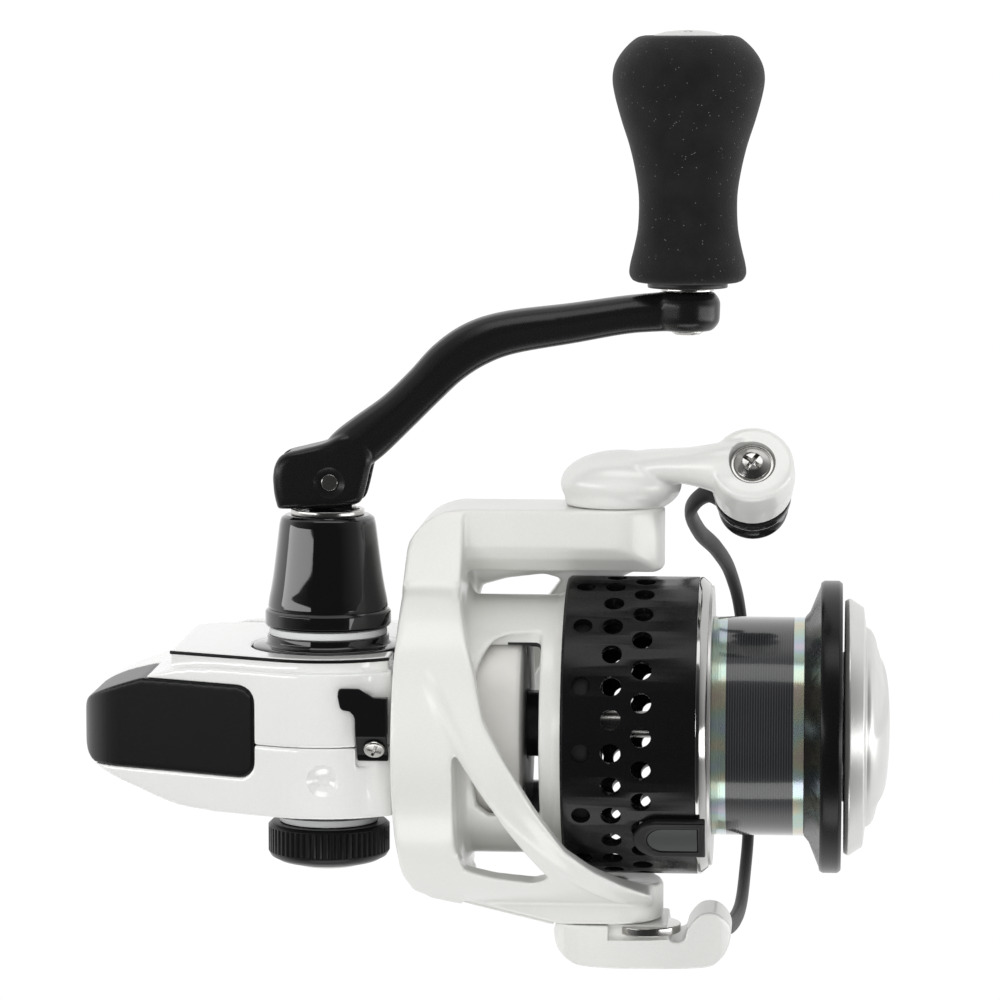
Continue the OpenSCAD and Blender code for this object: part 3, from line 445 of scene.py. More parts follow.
def turn_mm(bm, profile, along, origin, segments):
    """A turned solid: a closed profile of (distance, radius) in mm round an axis."""
    along = Vector(along).normalized()
    side = along.orthogonal().normalized()
    other = along.cross(side)
    origin = Vector(origin)
    rings = []
    for k in range(segments):
        angle = 2 * math.pi * k / segments
        out = side * math.cos(angle) + other * math.sin(angle)
        rings.append([(origin + along * d + out * max(r, 0.0)) * MM for d, r in profile])
    closed_grid(bm, rings, caps=False)


def sweep_mm(bm, rows, section, up):
    """A solid along rows of (x, y, z, width, depth) in mm; the section is of (across, deep) shares."""
    points = [Vector(row[:3]) for row in rows]
    up = Vector(up)
    rings = []
    for i, point in enumerate(points):
        ahead = (points[min(i + 1, len(points) - 1)] - points[max(i - 1, 0)]).normalized()
        across = ahead.cross(up).normalized()
        deep = across.cross(ahead)
        rings.append([(point + across * a * rows[i][3] + deep * b * rows[i][4]) * MM for a, b in section])
    closed_grid(bm, rings, caps=True)


def prism_mm(bm, outline, low, high, axis="Z"):
    """An (x, y) outline in mm drawn out along Z, or an (x, z) outline along Y."""
    def at(a, b, level):
        return Vector((a, level, b) if axis == "Y" else (a, b, level)) * MM
    closed_grid(bm, [[at(a, b, level) for a, b in outline] for level in (low, high)], caps=True)


def pillow_mm(bm, outline, layers):
    """An outline drawn out along Z through (level, inset) layers, the inset towards its middle."""
    centre = sum((Vector(p) for p in outline), Vector((0, 0))) / len(outline)

    def ring(level, inset):
        for point in outline:
            here = Vector(point)
            moved = here + (centre - here).normalized() * inset
            yield Vector((moved.x, moved.y, level)) * MM
    closed_grid(bm, [list(ring(*layer)) for layer in layers], caps=True)


def ball_mm(bm, centre, radii):
    sphere = bmesh.ops.create_uvsphere(bm, u_segments=48, v_segments=24, radius=1)
    stretch = Matrix.Diagonal((*(Vector(radii) * MM), 1))
    bmesh.ops.transform(bm, verts=sphere["verts"], matrix=Matrix.Translation(Vector(centre) * MM) @ stretch)


def oval(sides=24, squareness=2.0):
    """Unit outline between an ellipse (2) and a rectangle (larger)."""
    out = []
    for k in range(sides):
        angle = 2 * math.pi * k / sides
        c, s = math.cos(angle), math.sin(angle)
        out.append((0.5 * math.copysign(abs(c) ** (2 / squareness), c),
                    0.5 * math.copysign(abs(s) ** (2 / squareness), s)))
    return out


def make_object(name, bm):
    """An object from mesh data, with its shared corners joined and its faces turned outwards."""
    bmesh.ops.remove_doubles(bm, verts=bm.verts, dist=0.001 * MM)
    bmesh.ops.recalc_face_normals(bm, faces=bm.faces)
    mesh = bpy.data.meshes.new(name)
    bm.to_mesh(mesh)
    bm.free()
    made = bpy.data.objects.new(name, mesh)
    bpy.context.scene.collection.objects.link(made)
    return made


def finish_as(piece, body, slot):
    """Gives a piece its material and the body that it moves with."""
    piece.data.materials.clear()
    piece.data.materials.append(MATERIALS[slot])
    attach(piece, body)


def add_piece(name, bm, *nodes):
    """A piece that takes the place of CAD nodes and moves with their body."""
    piece = make_object(name, bm)
    finish_as(piece, BODY_OF[nodes[0]], SLOT_OF[nodes[0]])
    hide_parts(*nodes)
    return piece


def add_extra(name, bm, body, slot):
    """A small part of a body that no CAD node stands for."""
    piece = make_object(name, bm)
    finish_as(piece, body, slot)
    return piece


def settle(piece):
    """Puts a piece's modifiers into its mesh."""
    graph = bpy.context.evaluated_depsgraph_get()
    mesh = bpy.data.meshes.new_from_object(piece.evaluated_get(graph))
    piece.modifiers.clear()
    piece.data = mesh


def smooth_by_angle(piece, degrees):
    piece.data.shade_smooth()
    piece.data.set_sharp_from_angle(angle=math.radians(degrees))


def fuse(piece, voxel_mm, rounds):
    """Joins the solids of a piece into one skin with soft corners."""
    remesh = piece.modifiers.new("remesh", "REMESH")
    remesh.mode = "VOXEL"
    remesh.voxel_size = voxel_mm * MM
    smooth = piece.modifiers.new("smooth", "SMOOTH")
    smooth.factor = 0.5
    smooth.iterations = rounds
    settle(piece)
    piece.data.shade_smooth()


def carve(piece, shape, operation="DIFFERENCE"):
    """Cuts the solid in shape, a bmesh, out of a piece, or joins or intersects the two."""
    cutter = make_object("cutter", shape)
    cut = piece.modifiers.new("cut", "BOOLEAN")
    cut.operation = operation
    cut.solver = "EXACT"
    cut.object = cutter
    settle(piece)
    mesh = cutter.data
    bpy.data.objects.remove(cutter)
    bpy.data.meshes.remove(mesh)


def bore(piece, profile, along, origin, segments=64):
    """Cuts a turned solid out of a piece."""
    cutter = bmesh.new()
    turn_mm(cutter, profile, along, origin, segments)
    carve(piece, cutter)


def edged(piece, edge_mm):
    """Breaks a piece's sharp edges and shades the rest smooth."""
    bevel = piece.modifiers.new("edges", "BEVEL")
    bevel.width = edge_mm * MM
    bevel.segments = 3
    bevel.limit_method = "ANGLE"
    bevel.angle_limit = math.radians(32)
    settle(piece)
    smooth_by_angle(piece, 45)


def from_cad(name, *nodes):
    """A piece that starts as the CAD shape, with its shared corners joined."""
    bm = bmesh.new()
    for node in nodes:
        bm.from_mesh(frame["nodes"][node].data)
    bmesh.ops.remove_doubles(bm, verts=bm.verts, dist=0.002 * MM)
    bmesh.ops.dissolve_limit(bm, angle_limit=math.radians(0.4), verts=bm.verts, edges=bm.edges)
    return add_piece(name, bm, *nodes)


# ---- pieces ----


def add_turned(name, node, profile, along, origin, segments):
    """A turned piece from (distance, radius, fillet) corners in mm."""
    bm = bmesh.new()
    turn_mm(bm, filleted(profile), along, origin, segments)
    piece = add_piece(name, bm, node)
    smooth_by_angle(piece, 40)
    return piece


def add_handle():
    """Hub with a fork, swept arm with a long ridge, and the barrel that holds the knob."""
    bm = bmesh.new()
    x0, z0, pin = DRIVE.x / MM, DRIVE.z / MM, middle("fold_pin") / MM
    hub = curve([(x0 + x, y) for x, y in (
        (-7.1, -33.35), (-7.7, -36), (-7.7, -39.2), (-6.5, -41.4), (-3.6, -42.3), (-0.2, -43.2), (2.8, -44.6),
        (5.6, -43.8), (7.0, -41.4), (6.6, -39.0), (6.0, -36.4), (5.5, -34.9), (4.6, -34.15), (1.2, -33.4))], 4)
    for side in (-1, 1):
        pillow_mm(bm, hub, [(z0 + side * level, inset) for level, inset in
                            ((2.5, 0), (3.3, 0), (3.9, 0.3), (4.25, 0.8), (4.4, 1.6))])
    crown = [point for point in hub if point[1] < pin.y - 4.2]    # the part that joins the fork's two cheeks
    pillow_mm(bm, crown, [(z0 - 3.6, 0.2), (z0 - 3.0, 0), (z0 + 3.0, 0), (z0 + 3.6, 0.2)])
    ridge = [(-0.5, 0.0), (-0.49, -0.26), (-0.44, -0.35), (-0.3, -0.40), (-0.1, -0.445), (0.13, -0.5),
             (0.24, -0.45), (0.36, -0.38), (0.46, -0.28), (0.5, -0.12)]
    ridge += [(a, -b) for a, b in reversed(ridge[1:])]
    rows = through([(x0 + x, y, z0, wide, deep) for x, y, wide, deep in (
        (0.6, -40.0, 5.4, 7.6), (3.2, -41.8, 7.0, 8.6), (6.2, -44.0, 7.2, 8.9), (10.6, -47.7, 6.4, 8.7),
        (14.6, -51.6, 6.3, 8.6), (18.2, -55.2, 6.7, 8.4), (22.3, -57.9, 6.8, 8.2), (27.4, -59.6, 6.4, 8.0),
        (36.5, -61.0, 5.9, 7.6), (44.6, -62.3, 5.6, 7.2), (51.0, -62.8, 5.8, 6.6))], 8)
    sweep_mm(bm, rows, ridge, (0, 0, 1))
    barrel = [(59.9, 0, 0), (59.9, 3.6, 1.2), (61.2, 4.75, 1.6), (64.4, 4.85, 1.4), (65.75, 3.9, 0.8),
              (65.75, 0, 0)]
    turn_mm(bm, filleted(barrel), (0, -1, 0), (KNOB.x / MM, 0, z0), 128)
    piece = add_piece("handle_arm_swept", bm, "handle_arm")
    fuse(piece, 0.22, 20)
    bore(piece, [(-9, 0), (-9, 1.27), (9, 1.27), (9, 0)], (0, 0, 1), pin, 48)
    for side in (-1, 1):
        bore(piece, [(3.9, 0), (3.9, 1.5), (4.3, 2.3), (5.4, 2.7), (5.4, 0)], (0, 0, side), pin)
    smooth_by_angle(piece, 42)
    pin_corners = [(-4.05, 0, 0), (-4.05, 1.25, 0.2), (4.05, 1.25, 0.2), (4.05, 0, 0)]
    smooth_by_angle(add_turned("fold_pin_turned", "fold_pin", pin_corners, (0, 0, 1), pin, 48), 32)


def add_bell():
    """The turned handle base with the tongue that the arm folds on."""
    bm = bmesh.new()
    side = curve([(18.7, 8.95), (19.8, 8.8), (21.4, 8.48), (23.6, 8.12), (27, 7.68), (29.5, 7.38),
                  (30.9, 7.2)], 6)
    foot = filleted([(15.7, 0, 0), (15.7, 9.2, 0.3), (16.1, 9.42, 0.2), (17.9, 9.38, 0.35), (18.3, 8.95, 0.2)])
    top = filleted([(30.9, 7.2, 0), (31.9, 6.95, 0.7), (32.28, 6.3, 0.2), (32.28, 0, 0)])
    turn_mm(bm, foot + side + top, (0, -1, 0), (DRIVE.x / MM, 0, DRIVE.z / MM), 160)
    pin, radius, start = middle("fold_pin") / MM, 3.2, -32
    turns = [math.pi * k / 16 for k in range(17)]
    tongue = [(pin.x - radius * math.cos(a), pin.y - radius * math.sin(a)) for a in turns]
    tongue = [(pin.x - radius, start)] + tongue + [(pin.x + radius, start)]
    prism_mm(bm, tongue, pin.z - 2.4, pin.z + 2.4)
    smooth_by_angle(add_piece("bell", bm, "handle_base"), 40)


def add_knob():
    """Foam grip, and its end cap with three small dimples."""
    x0, z0 = KNOB.x / MM, KNOB.z / MM
    outer = curve([
        (67.15, 7.5), (67.5, 8.15), (68.4, 8.6), (69.9, 8.45), (72.4, 7.85), (75.4, 7.32), (79.7, 7.24),
        (83.5, 7.78), (87.2, 8.65), (90.9, 9.84), (94.7, 10.86), (97.1, 11.15), (99.2, 10.72), (101.2, 9.45),
        (102.8, 7.7), (103.2, 6.4)], 5)
    bm = bmesh.new()
    turn_mm(bm, [(67.1, 5.25), (67.1, 7.2)] + outer + [(103.15, 5.3)], (0, -1, 0), (x0, 0, z0), 144)
    add_piece("knob_foam", bm, "knob_grip").data.shade_smooth()
    cap = [(100.3, 0, 0), (100.3, 4.85, 0), (103.0, 5.2, 0.2), (103.3, 5.0, 0.4), (103.75, 3.4, 1.2),
           (103.95, 1.4, 1), (104.0, 0, 0)]
    piece = add_turned("knob_dome", "knob_cap", cap, (0, -1, 0), (x0, 0, z0), 96)
    ring = 2.9      # radius of the circle that the dimples lie on
    for k in range(3):
        angle = math.radians(120 * k + 30)
        spot = bmesh.new()
        ball_mm(spot, (x0 + ring * math.cos(angle), -104.1, z0 + ring * math.sin(angle)), (0.95, 0.75, 0.95))
        carve(piece, spot)
    smooth_by_angle(piece, 35)


def on_roller(distance, radius=0.0, angle=0.0):
    """A point in mm by its distance along the roller's line and its radius round it."""
    side = Vector((1, 0, 0))
    other = ROLLER_LINE.cross(side)
    out = side * math.cos(angle) + other * math.sin(angle)
    return ROLLER_FACE + ROLLER_LINE * distance + out * radius


def add_bail_arm():
    """Pivot disc under a dome that runs out into the boss for the roller."""
    bm = bmesh.new()
    px, pz, face = PIVOT.x / MM, PIVOT.z / MM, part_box("rotor_frame")[0].y / MM - 0.05
    turn_mm(bm, filleted([(-face, 2.2, 0), (-face, 7.5, 0.5), (3.2 - face, 7.55, 0.5), (3.2 - face, 2.2, 0)]),
            (0, -1, 0), (px, 0, pz), 96)
    ball_mm(bm, (px + 0.9, face - 3.3, pz - 0.3), (9.1, 5.0, 7.6))
    rows = through([
        (px - 2.4, face - 3.4, pz - 0.4, 3.6, 8.0), (px + 2.6, face - 5.3, pz - 0.8, 5.2, 9.8),
        (px + 7.0, face - 6.2, pz - 2.2, 4.9, 9.4), (px + 11.5, face - 6.4, pz - 4.2, 5.6, 8.8),
        (px + 15.5, face - 6.4, pz - 6.0, 7.4, 8.6), (px + 19.0, face - 6.0, pz - 7.2, 9.4, 7.6)], 6)
    sweep_mm(bm, rows, oval(28, 2.4), (0, 0, 1))
    turn_mm(bm, filleted([(0, 0, 0), (0, 6.1, 1.1), (4.2, 6.35, 0.5), (8.7, 5.95, 0.4), (8.7, 0, 0)]),
            ROLLER_LINE, on_roller(0), 96)
    piece = add_piece("bail_arm_sculpted", bm, "bail_arm")
    fuse(piece, 0.22, 22)
    screw_hole = [(-3, 0), (-3, 3.45), (1.15, 3.45), (1.15, 1.75), (12, 1.75), (12, 0)]
    bore(piece, screw_hole, ROLLER_LINE, on_roller(0), 72)
    pivot_hole = [(-39.05, 0), (-39.05, 2.95), (-37.7, 2.95), (-37.7, 2.25), (-20, 2.25), (-20, 0)]
    bore(piece, pivot_hole, (0, 1, 0), (px, 0, pz))
    smooth_by_angle(piece, 42)
    screw = [(14.3, 0, 0), (14.3, 1.68, 0.2), (1.1, 1.68, 0), (1.1, 3.3, 0.1), (0.85, 3.38, 0.15),
             (0.55, 3.1, 0.2), (0.62, 2.75, 0.1), (0.3, 2.6, 0.3), (-0.3, 1.5, 1.2), (-0.42, 0, 0)]
    head = add_turned("roller_screw_turned", "roller_screw", screw, ROLLER_LINE, on_roller(0), 96)
    for turn in (math.radians(35), math.radians(125)):
        slot = bmesh.new()
        rows = [(*on_roller(-0.5, 1.5, turn), 0.66, 2.4), (*on_roller(-0.5, -1.5, turn), 0.66, 2.4)]
        sweep_mm(slot, rows, oval(16, 8), ROLLER_LINE)
        carve(head, slot)
    smooth_by_angle(head, 35)


def add_holder():
    """The boat-shaped holder that the far end of the wire fits in."""
    px, pz = PIVOT.x / MM, PIVOT.z / MM
    outline = curve([(px + x, y) for x, y in (
        (-8.3, 29.42), (-8.9, 30.9), (-8.4, 33.2), (-6.6, 34.9), (-3.9, 35.7), (5, 36.0), (13.6, 36.15),
        (15.9, 35.3), (17.4, 33.2), (17.7, 30.2), (16.0, 28.1), (14.0, 27.75), (12.5, 28.5), (11.3, 30.1),
        (10.9, 31.5), (9.9, 32.0), (8.6, 31.6), (8.2, 29.42))], 4)
    plan = [(px + x, pz + z) for x, z in (
        (-9.2, -3.4), (-7.2, -6.3), (-3.6, -7.5), (2, -7.6), (8, -6.7), (14, -5.0), (17.4, -3.6), (18.6, -1),
        (18.6, 2.5), (16.6, 5.0), (12, 5.4), (8, 6.7), (2, 7.6), (-3.6, 7.5), (-7.2, 6.3), (-9.2, 3.4))]
    bm = bmesh.new()
    prism_mm(bm, outline, pz - 9, pz + 9)
    piece = add_piece("bail_holder_sculpted", bm, "bail_holder")
    keep = bmesh.new()
    prism_mm(keep, curve(plan + plan[:1], 3)[:-1], 20, 45, axis="Y")
    carve(piece, keep, "INTERSECT")
    fuse(piece, 0.22, 8)
    pivot_hole = [(20, 0), (20, 2.25), (33.85, 2.25), (33.85, 2.95), (45, 2.95), (45, 0)]
    bore(piece, pivot_hole, (0, 1, 0), (px, 0, pz))
    # slot on the near side next to the arm, with the edge of a washer in it
    slot = bmesh.new()
    rows = [(px - 0.6, 30.4, pz - 8.4, 2.4, 5.0), (px + 8.6, 30.4, pz - 8.4, 2.4, 5.0)]
    sweep_mm(slot, rows, oval(24, 5), (0, 0, 1))
    carve(piece, slot)
    washer = bmesh.new()
    turn_mm(washer, filleted([(29.75, 0, 0), (29.75, 5.0, 0.2), (31.0, 5.0, 0.2), (31.0, 0, 0)]), (0, 1, 0),
            (px + 5.2, 0, pz - 2.6), 64)
    smooth_by_angle(add_extra("holder_washer", washer, "bail", "steel"), 40)
    smooth_by_angle(piece, 42)


# the middle of the wire in mm, with z from the pivot's line
WIRE_ROWS = [(56.8, -31.6, 6.2), (53.2, -34, 9.5), (50.2, -31, 15), (51.2, -26.5, 24), (53.7, -22.6, 33),
             (55.8, -17.6, 41.5), (57.4, -9.2, 47.5), (58.4, 8, 50.5), (58.8, 23, 47.2), (58.4, 30.2, 39.5),
             (57.8, 33.8, 28), (56.4, 34, 16), (54.6, 31.5, 5)]


def add_wire():
    """The bail's flattened wire, with the cone that covers the roller's far end."""
    bm = bmesh.new()
    rows = through([(x, y, z + PIVOT.z / MM, 2.8, 1.9) for x, y, z in WIRE_ROWS], 10)
    sweep_mm(bm, rows, oval(24, 2.5), (1, 0, 0))
    smooth_by_angle(add_piece("bail_wire_flat", bm, "bail_wire"), 50)
    cone = [(13.85, 1.75, 0), (13.85, 5.2, 0.2), (14.5, 5.3, 0.3), (16.2, 4.2, 0.6), (16.9, 3.2, 0.5),
            (16.9, 1.75, 0)]
    add_turned("bail_wire_cone", "bail_wire", cone, ROLLER_LINE, on_roller(0), 72)


def soften_arms(piece, axis):
    """Smooths the rotor's arms over the width where they leave the rear, most in the middle."""
    centre, half_width, end, clear = 21.5, 8, 17.3, 14
    soft = piece.vertex_groups.new(name="soft")
    for vertex in piece.data.vertices:
        x, y, z = vertex.co / MM
        share = 1 - ((abs(y) - centre) / half_width) ** 2
        if share > 0 and x < end and abs(z - axis) > clear:
            soft.add([vertex.index], share, "REPLACE")
    smooth = piece.modifiers.new("soften", "SMOOTH")
    smooth.factor, smooth.iterations, smooth.vertex_group = 0.5, 90, "soft"
    settle(piece)


def slim_cup(piece, axis):
    """Moves the wall of the rotor's cup inwards, less at its two ends and none at the arms."""
    start, end, inner, outer, inwards = 17.2, 33, 17.5, 22.2, 0.95
    for vertex in piece.data.vertices:
        x, y, z = vertex.co.x / MM, vertex.co.y / MM, vertex.co.z / MM - axis
        out = math.hypot(y, z)
        if inner < out < outer and start < x < end:
            ends = min(1.0, (x - start) / 1.2, (end - x) / 2)
            shift = inwards * ends * min(1.0, (outer - out) / 1.6)
            vertex.co.y -= y / out * shift * MM
            vertex.co.z -= z / out * shift * MM


def dome_rear(piece, rear):
    """Draws the rotor's rear face out, most on the axis and none at the arms."""
    reach, half_width, rise = 4, 22, 0.7
    for vertex in piece.data.vertices:
        share = max(0.0, 1 - (vertex.co.x / MM - rear) / reach)
        wide = abs(vertex.co.y / MM) / half_width
        vertex.co.x -= rise * share * (1 - wide ** 2) * MM


def round_shoulder(piece, rear, side, edge, reach_x, reach_y):
    """Runs the corner between the rotor's rear and one arm's outside out in an arc."""
    for vertex in piece.data.vertices:
        a = (rear + reach_x - vertex.co.x / MM) / reach_x
        b = (side * vertex.co.y / MM - edge + reach_y) / reach_y
        far = math.hypot(a, b)
        if a > 0 and b > 0 and far > 1:
            vertex.co.x += (a - a / far) * reach_x * MM
            vertex.co.y -= side * (b - b / far) * reach_y * MM


def add_rotor():
    """The cast rotor: CAD shape with soft corners, spines on its struts and a domed rear."""
    bm = bmesh.new()
    bm.from_mesh(frame["nodes"]["rotor_frame"].data)
    bmesh.ops.remove_doubles(bm, verts=bm.verts, dist=0.002 * MM)
    axis, low = SHAFT.z / MM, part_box("rotor_frame")[0] / MM
    spine = [(x, y, math.sqrt(radius ** 2 - y ** 2)) for x, y, radius in (
        (11.2, -13.5, 24.6), (13.6, -9.2, 26.3), (18.2, -0.8, 26.3), (24.0, 8.4, 26.3), (30.2, 15.4, 26.3),
        (36.0, 20.8, 26.3), (41.5, 24.6, 26.3))]
    for side in (-1, 1):
        rows = [(x, -side * y, axis + side * out, 2.8, 2.0) for x, y, out in spine]
        sweep_mm(bm, through(rows, 6), oval(20), (0, 0, 1))
    turn_mm(bm, [(17.4, 18.4), (17.4, 20.35), (29.6, 20.35), (29.6, 18.4)], (1, 0, 0), (0, 0, axis), 160)
    piece = add_piece("rotor_cast", bm, "rotor_frame")
    fuse(piece, 0.3, 0)
    for side in (-1, 1):
        window = bmesh.new()
        corner = curve([(19.2, -4.0), (19.4, -7.8), (19.9, -11.1), (21.0, -13.6), (22.3, -15.1), (24.4, -15.9),
                        (26.5, -16.2), (29.0, -16.4)], 3)
        outline = corner + [(29.0, 11.9), (21.5, 11.9), (19.8, 10.2), (19.2, 6)]
        near, far = sorted((axis + side * 12, axis + side * 22))
        prism_mm(window, outline, near, far)
        carve(piece, window)
    hollow = bmesh.new()
    prism_mm(hollow, [(17.9, 20.6), (32, 20.6), (32, 25.2), (17.9, 25.2)], axis, axis + 9)
    carve(piece, hollow)
    fuse(piece, 0.28, 12)
    soften_arms(piece, axis)
    slim_cup(piece, axis)
    dome_rear(piece, low.x)
    round_shoulder(piece, low.x, -1, -low.y, 8.6, 7.6)
    round_shoulder(piece, low.x, 1, 24.9, 4.6, 6.0)


BOX_RADIUS = 17.2       # mm, the gearbox's round front round the drive shaft
BOX_END = 7.1           # mm, x where the gearbox meets the rotor's side
BOX_REAR = -25.8        # mm, x where the gearbox meets the rear cover


def arc(radius, start, end, steps):
    """Points (x, z) in mm round the drive shaft's line, between two angles in degrees."""
    angles = [math.radians(start + (end - start) * k / steps) for k in range(steps + 1)]
    return [(DRIVE.x / MM + radius * math.cos(a), DRIVE.z / MM + radius * math.sin(a)) for a in angles]


def near_outline(inset):
    """The gearbox's near edge seen along the drive shaft, as (x, z) in mm."""
    front = [(min(x, BOX_END), z) for x, z in arc(BOX_RADIUS - inset, -50, -112, 16)]
    return front + [(BOX_REAR, DRIVE.z / MM - 9.2 + inset)]


def far_outline(inset):
    """The gearbox's far edge, likewise."""
    axis = SHAFT.z / MM
    return [(BOX_REAR, axis + 12.4), (-22, axis + 16.9 - inset), (BOX_END, axis + 16.9 - inset)]


def front_patch(low, high, start, end):
    """A piece of the gearbox's round front wall, between two heights and two angles."""
    outline = arc(BOX_RADIUS - 0.05, start, end, 12) + arc(13.9, end, start, 12)
    bm = bmesh.new()
    prism_mm(bm, outline, low, high, axis="Y")
    return bm


LEVER_BEND = -1.9       # mm, y where the lever's plate starts to bend
LEVER_SLOPE = 0.74      # how steeply it runs down to its screw


def lever_drop(past):
    """How far the plate is bent down, in mm, at a distance past the bend."""
    if past < 0.3:
        return 0.4 * max(past, 0.0)
    return LEVER_SLOPE * past - 0.1 if past < 3.2 else 2.27


def add_lever():
    """Anti-reverse lever: a thin plate that lies on the housing, bent down to its screw."""
    face = DRIVE.z / MM - 17.85
    outline = filleted([
        (0.1, -7.6, 0.5), (0.2, -8.8, 0.6), (3.2, -8.8, 0.6), (5.4, -7.5, 0.8), (7.3, -7.4, 0.2),
        (7.3, 2.2, 0.3), (2.75, 2.2, 0.3), (2.6, -4.6, 1.2), (1.9, -5.45, 0.7), (0.5, -5.6, 0.9)])
    bm = bmesh.new()
    prism_mm(bm, outline, face, face + 0.6)
    bmesh.ops.subdivide_edges(bm, edges=bm.edges, cuts=1)
    for y in (LEVER_BEND, -1.6, -1.3, 1.2):
        everything = bm.verts[:] + bm.edges[:] + bm.faces[:]
        bmesh.ops.bisect_plane(bm, geom=everything, plane_co=mm(0, y, 0), plane_no=(0, 1, 0))
    for vertex in bm.verts:
        vertex.co.z += lever_drop(vertex.co.y / MM - LEVER_BEND) * MM
    prism_mm(bm, [(5.1, -7.2), (7.2, -7.2), (7.2, -1.7), (3.4, -1.7)], face + 0.3, face + 2.95)
    piece = add_piece("lever_plate", bm, "anti_reverse_lever")
    fuse(piece, 0.12, 3)
    smooth_by_angle(piece, 60)
    add_lever_screw(face)


def add_lever_screw(face):
    """The lever's screw, square to the slope of the plate, with a cross in its head."""
    along, origin, top = (0, LEVER_SLOPE, -1), (5.35, 0.1, face + 1.3), 0.62
    corners = [(-1.2, 0, 0), (-1.2, 1.0, 0), (0.1, 1.0, 0), (0.1, 1.6, 0.1), (0.55, 1.5, 0.25), (top, 0, 0)]
    head = add_turned("lever_screw_turned", "lever_screw", corners, along, origin, 64)
    tilt = math.atan(LEVER_SLOPE)
    start = Vector(origin) + Vector(along).normalized() * top
    for turn in (math.radians(20), math.radians(110)):
        aside = math.sin(turn)
        across = Vector((math.cos(turn), aside * math.cos(tilt), aside * math.sin(tilt)))
        groove = bmesh.new()
        rows = [(*(start + across * t), 0.42, 0.7) for t in (-1.05, 0, 1.05)]
        sweep_mm(groove, rows, oval(12, 4), along)
        carve(head, groove)
    smooth_by_angle(head, 35)


def add_housing():
    """The body housing, with the raised face round the handle's collar and a closed lever recess."""
    piece = from_cad("body_housing_moulded", "body_housing")
    face = bmesh.new()
    prism_mm(face, near_outline(1.3) + far_outline(1.3), -12.75, -10.2, axis="Y")
    carve(piece, face, "UNION")
    collar_room = [(11.1, 0), (11.1, 11.45), (14, 11.45), (14, 0)]
    bore(piece, collar_room, (0, -1, 0), (DRIVE.x / MM, 0, DRIVE.z / MM), 96)
    carve(piece, front_patch(-7.7, 0.15, -70, -95), "UNION")
    carve(piece, front_patch(-9.9, -7.6, -50, -95), "UNION")
    fuse(piece, 0.28, 6)


def add_side_cover():
    """The side cover, closed up to the lever's edge, with a dimple next to the lever."""
    piece = from_cad("side_cover_moulded", "side_cover")
    carve(piece, front_patch(3.1, 8.9, -50, -110), "UNION")
    carve(piece, front_patch(0.25, 3.2, -70, -95), "UNION")
    fuse(piece, 0.28, 5)
    front = DRIVE.z / MM - BOX_RADIUS
    dimple = [(front + depth, radius) for depth, radius in (
        (1.3, 0), (1.15, 0.9), (0.75, 1.7), (0.15, 2.35), (-2, 2.35), (-2, 0))]
    bore(piece, dimple, (0, 0, 1), (-2.1, 5.0, 0), 96)


def add_body():
    """Housing, side cover and rear cover as moulded pieces, and the visible band of the gasket."""
    add_housing()
    add_side_cover()
    fuse(from_cad("rear_cover_moulded", "rear_cover"), 0.28, 7)
    band = bmesh.new()
    sweep_mm(band, [(x, -12.4, z, 0.5, 0.5) for x, z in near_outline(1.35)], oval(12, 3), (0, 1, 0))
    smooth_by_angle(add_piece("gasket_band", band, "handle_gasket"), 50)


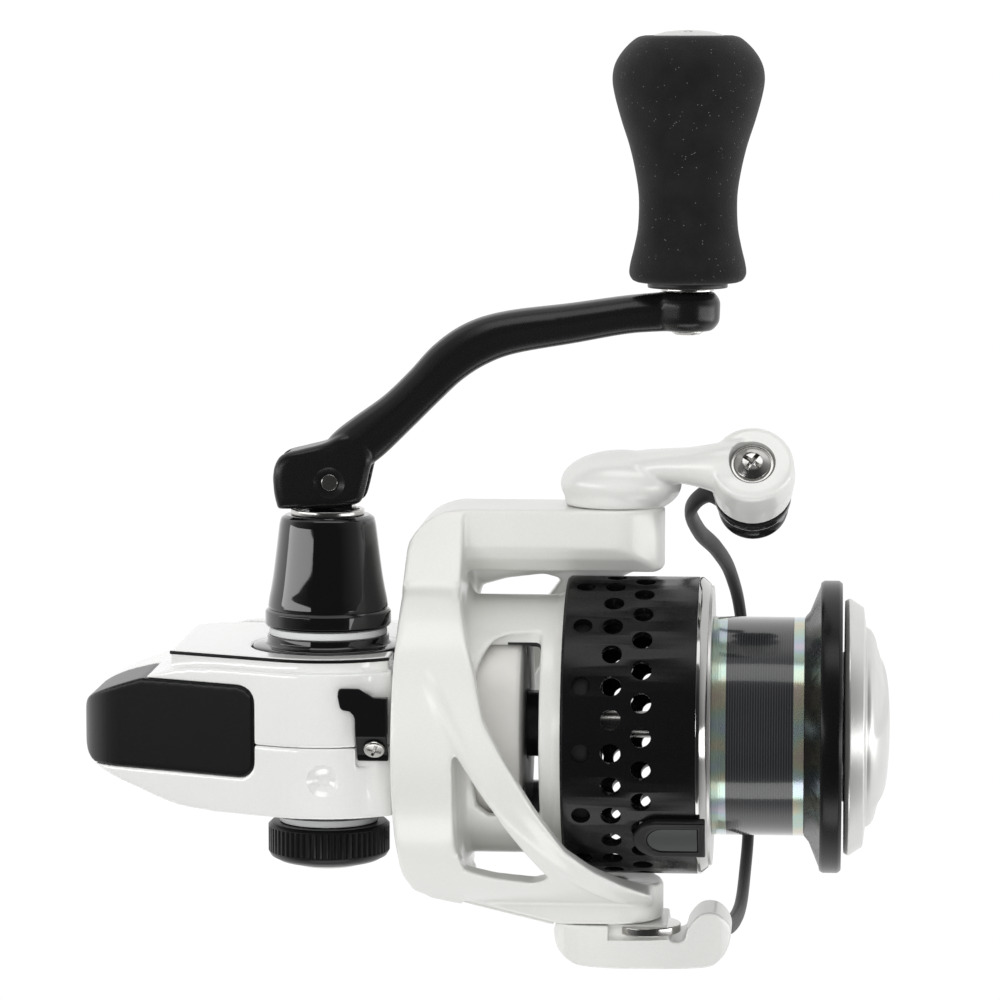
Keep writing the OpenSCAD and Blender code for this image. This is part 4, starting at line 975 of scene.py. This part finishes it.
def add_spool_front():
    """Drag knob and the dome on it, with a raised bar to grip."""
    along, origin = (1, 0, 0), (0, SHAFT.y / MM, SHAFT.z / MM)
    add_turned("drag_knob_turned", "drag_knob", [
        (66.2, 2.05, 0), (66.2, 11.2, 0.2), (73.78, 11.2, 0.2), (73.78, 18.9, 0.3), (74.5, 19.3, 0.35),
        (76.6, 17.9, 0.5), (76.95, 15.25, 0.1), (76.1, 15.25, 0.1), (76.1, 6, 0), (72.6, 6, 0), (72.6, 2.05, 0)],
        along, origin, 160)
    dome = [(76.15, 0), (76.15, 15.1), (76.95, 15.1)] + curve([
        (77.05, 14.95), (77.75, 14.5), (78.6, 13.4), (79.4, 11.6), (80.0, 9.0), (80.4, 5.2), (80.55, 2.4),
        (80.58, 0)], 5)
    bm = bmesh.new()
    turn_mm(bm, dome, along, origin, 192)
    lean, dome_start, dome_radius, bar_half, bar_height = math.radians(24), 77.1, 14.6, 5.4, 0.6
    for vertex in bm.verts:
        if vertex.co.x < dome_start * MM:
            continue
        y, z = (vertex.co.y - SHAFT.y) / MM, (vertex.co.z - SHAFT.z) / MM
        aside = abs(y * math.cos(lean) + z * math.sin(lean))
        rim = min(1.0, max(0.0, (dome_radius - math.hypot(y, z)) / 2.5))
        step = min(1.0, max(0.0, (aside - bar_half) / 1.8))
        vertex.co.x -= bar_height * rim * step * step * (3 - 2 * step) * MM
    smooth_by_angle(add_piece("drag_dome", bm, "drag_cap"), 30)


# width of the broken edge, in mm, of the pieces that keep the CAD shape
EDGES = {
    "spool_skirt": 0.12, "spool_lip": 0.3, "skirt_ring": 0.12, "spool_body": 0.1, "spool_label": 0.04,
    "line_clip": 0.45, "clip_insert": 0.12, "handle_collar": 0.14, "handle_seal": 0.18, "cap_collar": 0.2,
    "cap_seal": 0.18, "handle_cap": 0.06, "cap_disc": 0.08, "fold_washer": 0.12, "knob_core": 0.15,
    "knob_shaft": 0.12, "front_boss": 0.15, "boss_screws": 0.08, "cover_screws": 0.08, "pivot_screws": 0.12,
    "line_roller": 0.2, "arm_cover": 0.25, "rotor_nut": 0.2, "main_shaft": 0.15,
}

add_camera()
add_stage()
MATERIALS = make_materials()

for node, cad_object in frame["nodes"].items():
    for row in cad_object.material_slots:
        row.material = MATERIALS[SLOT_OF[node]]

add_rotor()
add_body()
add_lever()
add_handle()
add_bell()
add_knob()
add_bail_arm()
add_holder()
add_wire()
add_spool_front()
for node, width in EDGES.items():
    edged(from_cad(node + "_finished", node), width)
